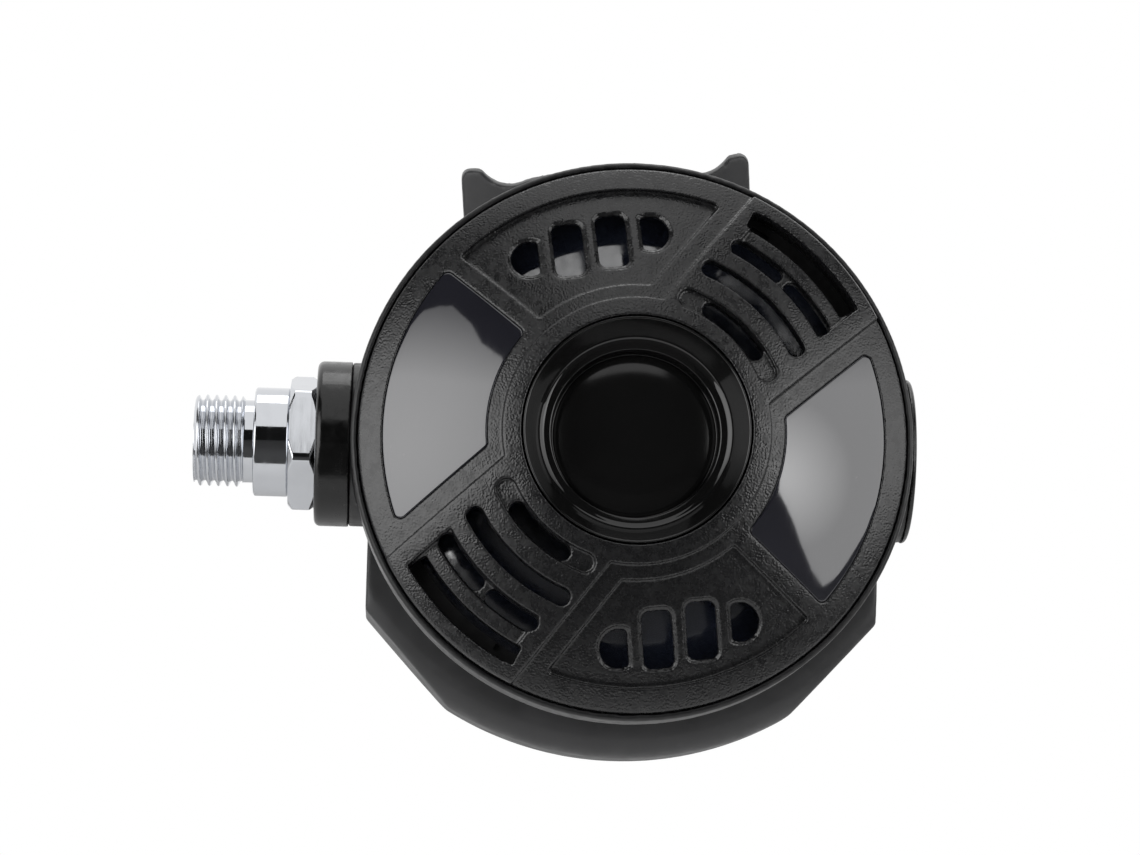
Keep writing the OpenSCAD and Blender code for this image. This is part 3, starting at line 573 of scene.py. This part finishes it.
def inset(loop, distance):
    """An outline drawn in by a distance, along its own normals."""
    out = []
    for i, here in enumerate(loop):
        run = (loop[(i + 1) % len(loop)] - loop[i - 1]).normalized()
        out.append(here + Vector((-run.y, run.x)) * distance)
    return out


class VALVE_OT_panels(Operator):
    """Builds the two polished panels that lie in the cover's pockets"""

    bl_idname = "valve.panels"
    bl_label = "Gloss panels"

    BALL = 85.5  # radius of the panels' domed face
    SPACING = 0.3  # between points of their outline
    THICK = 0.6
    ROWS = 14  # from the middle of a panel to its edge
    # how far in from the outline, and how high, the edge's rows lie
    EDGE = ((-0.1, -THICK), (-0.1, -0.16), (-0.05, -0.06), (0.04, -0.01), (0.2, 0.0))

    def execute(self, context):
        colour = context.scene.valve_colours.gloss
        finish = gloss_plastic(
            "panel_gloss", colour, roughness=0.05, scuff=0.05, ior=1.7, coat=1.0
        )
        loops = panel_loops()
        top = -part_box("cover_panels")[0].y / MM
        nearest = min(p.length for loop in loops for p in loop)
        middle = top - math.sqrt(self.BALL**2 - nearest**2)
        verts, faces = [], []
        for loop in loops:
            self.plate(evenly(loop, self.SPACING), middle, verts, faces)
        panels = built("panels", verts, faces)
        dress(panels, finish, "housing", "panel_gloss", "cover_panels")
        return {"FINISHED"}

    def plate(self, rim, middle, verts, faces):
        """Plate inside an outline, domed round a ball's middle, with its edge let down."""
        centre = sum(rim, Vector((0, 0))) / len(rim)
        count = len(rim)
        base = len(verts)

        def place(q, drop):
            height = middle + math.sqrt(self.BALL**2 - q.length_squared) + drop
            verts.append(forward(q.x, q.y, height))

        rings = [(inset(rim, away), drop) for away, drop in self.EDGE]
        face = rings[-1][0]
        for k in range(self.ROWS - 1, 0, -1):
            rings.append(([centre.lerp(p, k / self.ROWS) for p in face], 0.0))
        for ring, drop in rings:
            for q in ring:
                place(q, drop)
        for i in range(len(rings) - 1):
            for j in range(count):
                k = (j + 1) % count
                a, b = base + i * count, base + (i + 1) * count
                faces.append((a + j, a + k, b + k, b + j))
        tip = len(verts)
        place(centre, 0.0)
        place(centre, -self.THICK)
        last = base + (len(rings) - 1) * count
        for j in range(count):
            k = (j + 1) % count
            faces.append((last + j, last + k, tip))
            faces.append((base + k, base + j, tip + 1))


class VALVE_OT_button(Operator):
    """Builds the cupped purge button and the disc in it"""

    bl_idname = "valve.button"
    bl_label = "Purge button"

    def execute(self, context):
        colour = context.scene.valve_colours.button
        low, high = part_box("purge_button")
        under, top = -high.y / MM, -low.y / MM
        outer = (high.x - low.x) / 2 / MM
        skirt_inner, skirt_outer = 11.85, 13.25
        disc = top - 8.0  # level of the cup's bottom
        floor = disc - 1.4  # level of its underside
        flange = disc + 2.0
        rim, lip, well = 16.9, 14.55, 12.6  # radii of the cup, from its mouth down
        step = top - 4.6  # level where its flared wall ends
        profile = filleted(
            [
                (0, floor, 0),
                (skirt_inner, floor, 0.3),
                (skirt_inner, under, 0.2),
                (skirt_outer, under, 0.2),
                (skirt_outer, flange, 0.2),
                (outer, flange, 0.3),
                (outer, top, 0.5),
                (rim, top - 0.05, 0.3),
                (lip, step, 1.8),
                (lip - 1.7, step - 0.2, 0.3),
                (well, disc, 0.15),
                (0, disc, 0),
            ],
            steps=7,
        )
        button = lathe("button", profile, forward, steps=192)
        finish = gloss_plastic(
            "button_gloss", colour, roughness=0.05, scuff=0.04, specks=2.2 * MM, ior=1.55
        )
        dress(button, finish, "button", "button_gloss", "purge_button")
        low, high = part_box("purge_inlay")
        radius = (high.x - low.x) / 2 / MM
        base, face = -high.y / MM, -low.y / MM + 0.35  # crowned a little over its solid
        level, bend, rows = 6.5, 24.0, 12  # flat middle's radius, and the curve round it
        profile = [(0, base), (radius, base)]
        for k in range(rows, -1, -1):
            past = (radius - level) * k / rows
            profile.append((level + past, face - bend + math.sqrt(bend**2 - past**2)))
        profile.append((0, face))
        inlay = lathe("inlay", profile, forward, steps=128)
        finish = gloss_plastic(
            "inlay_gloss", colour, roughness=0.12, scuff=0.02, specks=6 * MM
        )
        dress(inlay, finish, "button", "inlay_gloss", "purge_inlay")
        return {"FINISHED"}


class VALVE_OT_case(Operator):
    """Builds the case with its rim, bosses, mouth tube and exhaust port"""

    bl_idname = "valve.case"
    bl_label = "Case"

    def execute(self, context):
        case = soften("case", "case_shell", voxel=0.34 * MM, passes=4, most=95000)
        colour = context.scene.valve_colours.case
        finish = grained_plastic("case_plastic", colour, roughness=0.38, depth=0.008 * MM)
        dress(case, finish, "housing", "case_plastic", "case")
        for node in ("clamp_ring", "cap_nut", "venturi_vane"):
            dress_node(node, finish)
        return {"FINISHED"}


class VALVE_OT_exhaust(Operator):
    """Builds the rubber exhaust tee and the flap behind it"""

    bl_idname = "valve.exhaust"
    bl_label = "Exhaust"

    def execute(self, context):
        colour = context.scene.valve_colours.rubber
        tee = soften("exhaust_tee", "tee", voxel=0.42 * MM, passes=10, most=60000)
        finish = satin_rubber("tee_rubber", colour, roughness=0.46)
        dress(tee, finish, "housing", "tee_rubber", "exhaust_tee")
        flap = soften("exhaust_flap", "flap", voxel=0.16 * MM, passes=4, most=30000)
        clear = satin_rubber("flap_silicone", (0.2, 0.22, 0.25), roughness=0.35)
        dress(flap, clear, "flap", "flap_silicone", "exhaust_flap")
        return {"FINISHED"}


class VALVE_OT_mouthpiece(Operator):
    """Builds the bite mouthpiece and the band round it"""

    bl_idname = "valve.mouthpiece"
    bl_label = "Mouthpiece"

    def execute(self, context):
        mouth = soften("mouthpiece", "mouthpiece_soft", voxel=0.36 * MM, passes=9, most=70000)
        colour = context.scene.valve_colours.silicone
        finish = satin_rubber("mouth_silicone", colour, roughness=0.42)
        dress(mouth, finish, "housing", "mouth_silicone", "mouthpiece")
        band = soften("mouthpiece_band", "band", voxel=0.22 * MM, passes=4, most=20000)
        grey = (0.02, 0.02, 0.02)
        nylon = grained_plastic("band_nylon", grey, roughness=0.5, depth=0.006 * MM)
        dress(band, nylon, "housing", "band_nylon", "mouthpiece_band")
        return {"FINISHED"}


class VALVE_OT_fitting(Operator):
    """Builds the chromed hose fitting with its cut thread, and the collar and cap"""

    bl_idname = "valve.fitting"
    bl_label = "Hose fitting"

    def execute(self, context):
        sizes = context.scene.valve_sizes
        pitch, depth = sizes.thread_pitch / MM, sizes.thread_depth / MM
        crest, relief, shoulder, flat, stem = 7.145, 6.45, 8.5, 9.55, 4.36  # outer radii
        bore, bore_end, passage = 4.2, 6.5, 2.4
        lead_in, run_out, bevel, chamfer = 1.1, 1.3, 0.35, 0.75
        crest_edge, flank = 0.93, 0.9  # shares of half a pitch
        thread_end, relief_end, shoulder_end, hex_end = 7.8, 9.3, 14.8, 18.9
        stem_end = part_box("inlet_fitting")[1].x / MM
        corner = flat / math.cos(math.pi / 6)
        hex_turn = math.radians(201)

        def groove(phase):
            """Share of the thread's depth at a phase of its pitch."""
            t = min(1, max(0, (crest_edge - abs((phase % 1) - 0.5) * 2) / flank))
            return t * t * (3 - 2 * t)

        def radius(x, a):
            """Outer radius at a station and an angle from the +Y side."""
            if x <= thread_end:
                tail = relief + (thread_end - x) * run_out
                cut = crest - depth * groove(x / pitch - a / TURN)
                if x >= lead_in:
                    return min(cut, tail)
                lead = relief - 0.1 + 0.85 * math.sqrt(1 - (1 - x / lead_in) ** 2)
                return min(max(cut, relief - 0.17), lead, tail)
            if x <= relief_end:
                return relief
            if x <= shoulder_end:
                edge = min(x - relief_end, shoulder_end - x)
                return shoulder - bevel * max(0, 1 - edge / bevel) ** 2
            if x <= hex_end:
                turn = (a - hex_turn) % (math.pi / 3) - math.pi / 6
                edge = min(x - shoulder_end, hex_end - x)
                cone = corner - 0.2 - 0.9 * max(0, 1 - edge / chamfer)
                return min(flat / math.cos(turn), cone)
            return stem

        steps, hair = 180, 1e-4  # steps round, and the width of a sheer step along
        stations = [0.0, *np.arange(0.04, thread_end, 0.055)]
        for start, end, step in (
            (thread_end, relief_end, 0.25),
            (relief_end, shoulder_end, 0.1),
            (shoulder_end, hex_end, 0.1),
        ):
            stations += [start - hair, *np.arange(start + hair, end, step)]
        stations += [hex_end - hair, hex_end + hair, stem_end]
        rings = [[(radius(x, TURN * j / steps), x) for j in range(steps)] for x in stations]
        for station in (
            (passage, stem_end),
            (passage, bore_end),
            (bore, bore_end),
            (bore, bevel),
            (bore + bevel, 0.0),
        ):
            rings.append([station] * steps)
        verts, faces = [], []
        for ring in rings:
            for j, (r, x) in enumerate(ring):
                a = TURN * j / steps
                verts.append((x * MM, r * math.cos(a) * MM, r * math.sin(a) * MM))
        for i in range(len(rings)):
            m = (i + 1) % len(rings)
            for j in range(steps):
                k = (j + 1) % steps
                faces.append((i * steps + j, i * steps + k, m * steps + k, m * steps + j))
        fitting = built("fitting", verts, faces)
        sharp_by_angle(fitting, 34, (thread_end - 0.1) * MM)
        dress(fitting, bright_chrome("chrome"), "housing", "chrome", "inlet_fitting")
        black = (0.003, 0.003, 0.003)
        satin = grained_plastic("collar_satin", black, roughness=0.2, depth=0.003 * MM)
        for node, name in (("inlet_collar", "collar"), ("end_cap", "cap")):
            piece = soften(node, name, voxel=0.2 * MM, passes=3, most=40000)
            dress(piece, satin, "housing", "collar_satin", node)
        return {"FINISHED"}


class VALVE_OT_diaphragm(Operator):
    """Builds the silicone diaphragm, its plate and its washer"""

    bl_idname = "valve.diaphragm"
    bl_label = "Diaphragm"

    def execute(self, context):
        low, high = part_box("diaphragm")
        top, ledge = -low.y / MM, high.y
        under, outer = -ledge / MM, (high.x - low.x) / 2 / MM
        thick, bead, fall = 0.9, 1.4, 1.17
        middle, fold, root = 24.0, 31.0, outer - 3.4  # radii: flat disc, its slope, clamped rim
        profile = filleted(
            [
                (0, top, 0),
                (middle, top, 4),
                (fold, top - fall, 3),
                (root - 1.6, under + bead, 1.5),
                (outer, under + bead, 0.2),
                (outer, under, 0.2),
                (root - 1.9, under, 1.5),
                (fold - 0.4, top - fall - thick, 3),
                (middle, top - thick, 4),
                (0, top - thick, 0),
            ],
            steps=6,
        )
        skin = lathe("diaphragm_skin", profile, forward, steps=144)
        colour = context.scene.valve_colours.diaphragm
        silicone = satin_rubber(
            "diaphragm_silicone", colour, roughness=0.16, grain=0.5 * MM, ior=2.7
        )
        dress(skin, silicone, "housing", "diaphragm_silicone", "diaphragm")
        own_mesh(skin)
        sheet = turned_metal("sheet_steel", (0.62, 0.62, 0.64), roughness=0.28)
        for node in ("diaphragm_plate", "demand_lever", "lever_washer", "lock_nut"):
            dress_node(node, sheet)
        ivory = (0.7, 0.7, 0.67)
        white = grained_plastic(
            "washer_plastic", ivory, roughness=0.4, grain=0.4 * MM, depth=0.004 * MM
        )
        dress_node("slip_washer", white)
        return {"FINISHED"}


class VALVE_OT_valve(Operator):
    """Finishes the barrel, the seat, the poppet, the seals and the springs"""

    bl_idname = "valve.works"
    bl_label = "Valve works"

    def execute(self, context):
        dress_node("valve_barrel", bright_chrome("barrel_chrome"))
        brass = turned_metal("brass", (0.72, 0.53, 0.24), roughness=0.24)
        for node in ("orifice", "poppet"):
            dress_node(node, brass)
        black = (0.016, 0.016, 0.016)
        seal = satin_rubber("seal_rubber", black, roughness=0.4, grain=0.2 * MM)
        for node in ("barrel_seals", "orifice_seal", "poppet_rubber"):
            dress_node(node, seal)
        wire = turned_metal("spring_steel", (0.6, 0.6, 0.62), roughness=0.22)
        dress_node("purge_clip", wire)
        self.purge_spring(wire)
        self.poppet_spring(wire)
        return {"FINISHED"}

    def purge_spring(self, finish):
        """Conical spring under the button."""
        low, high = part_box("purge_spring")
        radius, inner, turns, steps = 0.35 * MM, 14.25 * MM, 2.5, 110
        outer = (high.x - low.x) / 2 - radius
        points = []
        for i in range(steps + 1):
            t = i / steps
            a, r = TURN * turns * t, inner + (outer - inner) * t
            depth = high.y - radius - (high.y - low.y - 2 * radius) * t
            points.append(Vector((CASE_X + r * math.cos(a), depth, r * math.sin(a))))
        coil = wire_coil("button_spring", points, radius * INSIDE)
        dress(coil, finish, "housing", "spring_steel", "purge_spring")
        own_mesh(coil)

    def poppet_spring(self, finish):
        """Straight spring behind the poppet's head."""
        low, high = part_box("poppet_spring")
        radius, turns, steps = 0.4 * MM, 10, 260
        ring = (high.y - low.y) / 2 - radius
        points = []
        for i in range(steps + 1):
            t = i / steps
            a = TURN * turns * t
            x = low.x + radius + (high.x - low.x - 2 * radius) * t
            points.append(Vector((x, -ring * math.sin(a), -ring * math.cos(a))))
        coil = wire_coil("valve_spring", points, radius * INSIDE)
        dress(coil, finish, "housing", "spring_steel", "poppet_spring")
        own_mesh(coil)


# ------------------------------------------------------------------ stage


def way(azimuth, elevation):
    """Direction given in degrees, nought towards the front."""
    a, e = math.radians(azimuth), math.radians(elevation)
    return Vector((math.sin(a) * math.cos(e), -math.cos(a) * math.cos(e), math.sin(e)))


class VALVE_OT_stage(Operator):
    """Sets up the camera, the floor, the soft lights and the white surroundings"""

    bl_idname = "valve.stage"
    bl_label = "Studio"

    PICTURE_PX, FOCAL_PX = 1140, 3921.6
    TARGET = Vector((CASE_X, -16 * MM, 0))
    VIEW = (-3.4, -8.1)  # the camera's azimuth and elevation, in degrees
    ROLL = 1.3
    DISTANCE = 0.6
    SHIFT_PX = (63.4, 9.9)  # how far right and below the picture's centre the target falls
    FLOOR_Z = -0.2
    REACH = 0.5  # from the case to the two soft cards
    # outlines of the cards, as azimuth and elevation in degrees from the case
    LEFT_CARD = (
        (-24, 20), (-28, 22.6), (-33.9, 25.9), (-37.6, 30), (-43.8, 33.6), (-46.9, 33.3),
        (-52.5, 31.3), (-58, 27), (-84, 22), (-84, -18), (-60, -26), (-42, -20), (-25, -8),
    )
    RIGHT_CARD = (
        (28, 4), (35.6, -4.4), (39, -9.2), (42, -14), (46.2, -19.1), (50, -21.8),
        (53.4, -18.7), (56.3, -14), (62, -7), (84, -6), (84, 32), (40, 34), (28, 26),
    )

    def execute(self, context):
        scene = context.scene
        scene.view_settings.view_transform = "Standard"
        self.camera(scene)
        self.floor()
        self.flags()
        self.surroundings(scene)
        self.card("left_card", self.LEFT_CARD, hot=(-50, 4), peak=3.1, size=0.3)
        self.card("right_card", self.RIGHT_CARD, hot=(37, 0), peak=4.2, size=0.14)
        self.top_box(scene)
        return {"FINISHED"}

    def camera(self, scene):
        """Camera in front and a little below, with the valve off the picture's centre."""
        lens = bpy.data.cameras.new("camera")
        camera = bpy.data.objects.new("camera", lens)
        scene.collection.objects.link(camera)
        scene.camera = camera
        lens.sensor_width = 36
        lens.lens = self.FOCAL_PX * lens.sensor_width / self.PICTURE_PX
        lens.clip_start, lens.clip_end = 0.01, 20
        back = way(*self.VIEW)
        turn = (-back).to_track_quat("-Z", "Y")
        yaw = Quaternion((0, 1, 0), math.atan(self.SHIFT_PX[0] / self.FOCAL_PX))
        pitch = Quaternion((1, 0, 0), math.atan(self.SHIFT_PX[1] / self.FOCAL_PX))
        tip = Quaternion((0, 0, 1), math.radians(self.ROLL))
        camera.rotation_mode = "QUATERNION"
        camera.location = self.TARGET + back * self.DISTANCE
        camera.rotation_quaternion = turn @ yaw @ pitch @ tip

    def floor(self):
        """Pale floor well below the valve, which hangs on its hose."""
        half = 3.0
        floor = built(
            "floor",
            [
                (x * half + CASE_X, y * half, self.FLOOR_Z)
                for x, y in ((-1, -1), (1, -1), (1, 1), (-1, 1))
            ],
            [(0, 1, 2, 3)],
        )
        pale = Finish("floor_pale", (0.86, 0.86, 0.86), 0.8)
        pale.tint(pale.ranged(pale.noise(0.4), 0.4, 0.7, 0, 0.4), (0.9, 0.9, 0.9))
        floor.data.materials.append(pale.material)
        floor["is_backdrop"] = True

    def flags(self):
        """Dark cards behind the camera and on the floor in front, which only gloss sees."""
        reach, near, side = 2.6, -0.146, 100
        middle_top, side_top = 25, 52  # elevations of the front card's upper edge
        rise_start = rise_width = 12  # azimuths between which the edge climbs
        level = self.FLOOR_Z + MM
        low = math.degrees(math.atan2(level, reach))
        steps, rows = 50, 8
        verts = []
        for i in range(rows + 1):
            for j in range(steps + 1):
                turn = side * (2 * j / steps - 1)
                rise = min(1, max(0, (abs(turn) - rise_start) / rise_width))
                high = middle_top + (side_top - middle_top) * rise * rise * (3 - 2 * rise)
                verts.append(self.seen_at(turn, low + (high - low) * i / rows, reach))
        row = steps + 1
        faces = [
            (i * row + j, i * row + j + 1, (i + 1) * row + j + 1, (i + 1) * row + j)
            for i in range(rows)
            for j in range(steps)
        ]
        ground = [
            (CASE_X - reach, near, level),
            (CASE_X + reach, near, level),
            (CASE_X + reach, -reach, level),
            (CASE_X - reach, -reach, level),
        ]
        for name, points, cells, shade in (
            ("flag_front", verts, faces, 0.004),
            ("flag_floor", ground, [(0, 1, 2, 3)], 0.05),
        ):
            flag = built(name, points, cells)
            flag.data.materials.append(Finish(name, (shade,) * 3, 0.9).material)
            flag.visible_camera = flag.visible_diffuse = flag.visible_shadow = False
            flag.visible_transmission = False
            flag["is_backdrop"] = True

    def surroundings(self, scene):
        """White world for the eye and for reflections, dimmer as a light."""
        world = bpy.data.worlds.new("surroundings")
        scene.world = world
        world.use_nodes = True
        nodes, links = world.node_tree.nodes, world.node_tree.links
        nodes.clear()
        path = nodes.new("ShaderNodeLightPath")
        seen = path.outputs["Is Camera Ray"]
        for kind in ("Is Glossy Ray", "Is Transmission Ray"):
            add = nodes.new("ShaderNodeMath")
            add.operation = "MAXIMUM"
            links.new(seen, add.inputs[0])
            links.new(path.outputs[kind], add.inputs[1])
            seen = add.outputs[0]
        lamp, white = nodes.new("ShaderNodeBackground"), nodes.new("ShaderNodeBackground")
        lamp.inputs["Color"].default_value = (1, 1, 1, 1)
        lamp.inputs["Strength"].default_value = 0.5
        white.inputs["Color"].default_value = (1, 1, 1, 1)
        mix, out = nodes.new("ShaderNodeMixShader"), nodes.new("ShaderNodeOutputWorld")
        links.new(seen, mix.inputs[0])
        links.new(lamp.outputs[0], mix.inputs[1])
        links.new(white.outputs[0], mix.inputs[2])
        links.new(mix.outputs[0], out.inputs["Surface"])

    def seen_at(self, azimuth, elevation, distance):
        """Point at a distance from the case in a direction given in degrees."""
        return Vector((CASE_X, 0, 0)) + way(azimuth, elevation) * distance

    def card(self, name, outline, hot, peak, size):
        """Soft card, brightest round a spot of that size and dim on top, unseen by the camera."""
        plain, dim = 1.9, 0.35  # its strength off the spot, and what is left of it on top
        fade_start, fade_end = 16, 33  # elevations
        points = [self.seen_at(a, e, self.REACH) for a, e in outline]
        card = built(name, points, [tuple(range(len(points)))])
        glow = bpy.data.materials.new(name)
        glow.use_nodes = True
        nodes, links = glow.node_tree.nodes, glow.node_tree.links
        nodes.clear()
        place, mapping = nodes.new("ShaderNodeTexCoord"), nodes.new("ShaderNodeMapping")
        spot = self.seen_at(*hot, self.REACH)
        mapping.inputs["Location"].default_value = -spot / size
        mapping.inputs["Scale"].default_value = (1 / size,) * 3
        ball = nodes.new("ShaderNodeTexGradient")
        ball.gradient_type = "SPHERICAL"
        level = nodes.new("ShaderNodeMapRange")
        level.inputs["To Min"].default_value = plain
        level.inputs["To Max"].default_value = peak
        glow_node, out = nodes.new("ShaderNodeEmission"), nodes.new("ShaderNodeOutputMaterial")
        links.new(place.outputs["Object"], mapping.inputs["Vector"])
        links.new(mapping.outputs["Vector"], ball.inputs["Vector"])
        links.new(ball.outputs["Fac"], level.inputs["Value"])
        split, fade = nodes.new("ShaderNodeSeparateXYZ"), nodes.new("ShaderNodeMapRange")
        for socket, number in (
            ("From Min", self.REACH * math.sin(math.radians(fade_start))),
            ("From Max", self.REACH * math.sin(math.radians(fade_end))),
            ("To Min", 1.0),
            ("To Max", dim),
        ):
            fade.inputs[socket].default_value = number
        product = nodes.new("ShaderNodeMath")
        product.operation = "MULTIPLY"
        links.new(place.outputs["Object"], split.inputs["Vector"])
        links.new(split.outputs["Z"], fade.inputs["Value"])
        links.new(level.outputs["Result"], product.inputs[0])
        links.new(fade.outputs["Result"], product.inputs[1])
        links.new(product.outputs[0], glow_node.inputs["Strength"])
        links.new(glow_node.outputs["Emission"], out.inputs["Surface"])
        card.data.materials.append(glow)
        card.visible_camera = card.visible_shadow = card.visible_transmission = False
        card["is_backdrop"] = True

    def top_box(self, scene):
        """Soft light above, which gives the floor its shadow."""
        above, radiance = Vector((0, 0.1, 0.9)), 2.2
        light = bpy.data.lights.new("top_box", "AREA")
        light.shape = "RECTANGLE"
        light.size, light.size_y = 0.5, 0.4
        light.energy = math.pi * light.size * light.size_y * radiance
        lamp = bpy.data.objects.new("top_box", light)
        scene.collection.objects.link(lamp)
        lamp.location = Vector((CASE_X, 0, 0)) + above
        lamp.rotation_mode = "QUATERNION"
        lamp.rotation_quaternion = (-above).to_track_quat("-Z", "Y")
        lamp.visible_camera = False


# ------------------------------------------------------------------ add-on


STEPS = (
    VALVE_OT_cover,
    VALVE_OT_panels,
    VALVE_OT_button,
    VALVE_OT_case,
    VALVE_OT_exhaust,
    VALVE_OT_mouthpiece,
    VALVE_OT_fitting,
    VALVE_OT_diaphragm,
    VALVE_OT_valve,
    VALVE_OT_stage,
)


class VALVE_PT_pieces(Panel):
    """Lists the pieces of the demand valve"""

    bl_idname = "VALVE_PT_pieces"
    bl_label = "Demand valve"
    bl_space_type = "VIEW_3D"
    bl_region_type = "UI"
    bl_category = "Demand valve"

    def draw(self, context):
        for step in STEPS:
            self.layout.operator(step.bl_idname)
        for group in (context.scene.valve_sizes, context.scene.valve_colours):
            for name in group.__annotations__:
                self.layout.prop(group, name)


CLASSES = (ValveSizes, ValveColours, *STEPS, VALVE_PT_pieces)


def register():
    """Registers the groups, the operators and the panel."""
    for cls in CLASSES:
        bpy.utils.register_class(cls)
    bpy.types.Scene.valve_sizes = PointerProperty(type=ValveSizes)
    bpy.types.Scene.valve_colours = PointerProperty(type=ValveColours)


def unregister():
    """Takes them out again."""
    del bpy.types.Scene.valve_colours
    del bpy.types.Scene.valve_sizes
    for cls in reversed(CLASSES):
        bpy.utils.unregister_class(cls)


def main():
    """Builds the valve."""
    register()
    for step in STEPS:
        family, name = step.bl_idname.split(".")
        getattr(getattr(bpy.ops, family), name)()
    boxes = {"cad": CAD_BOX, "visual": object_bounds()}
    {k: [list(corner) for corner in box] for k, box in boxes.items()}


if __name__ == "__main__":
    main()
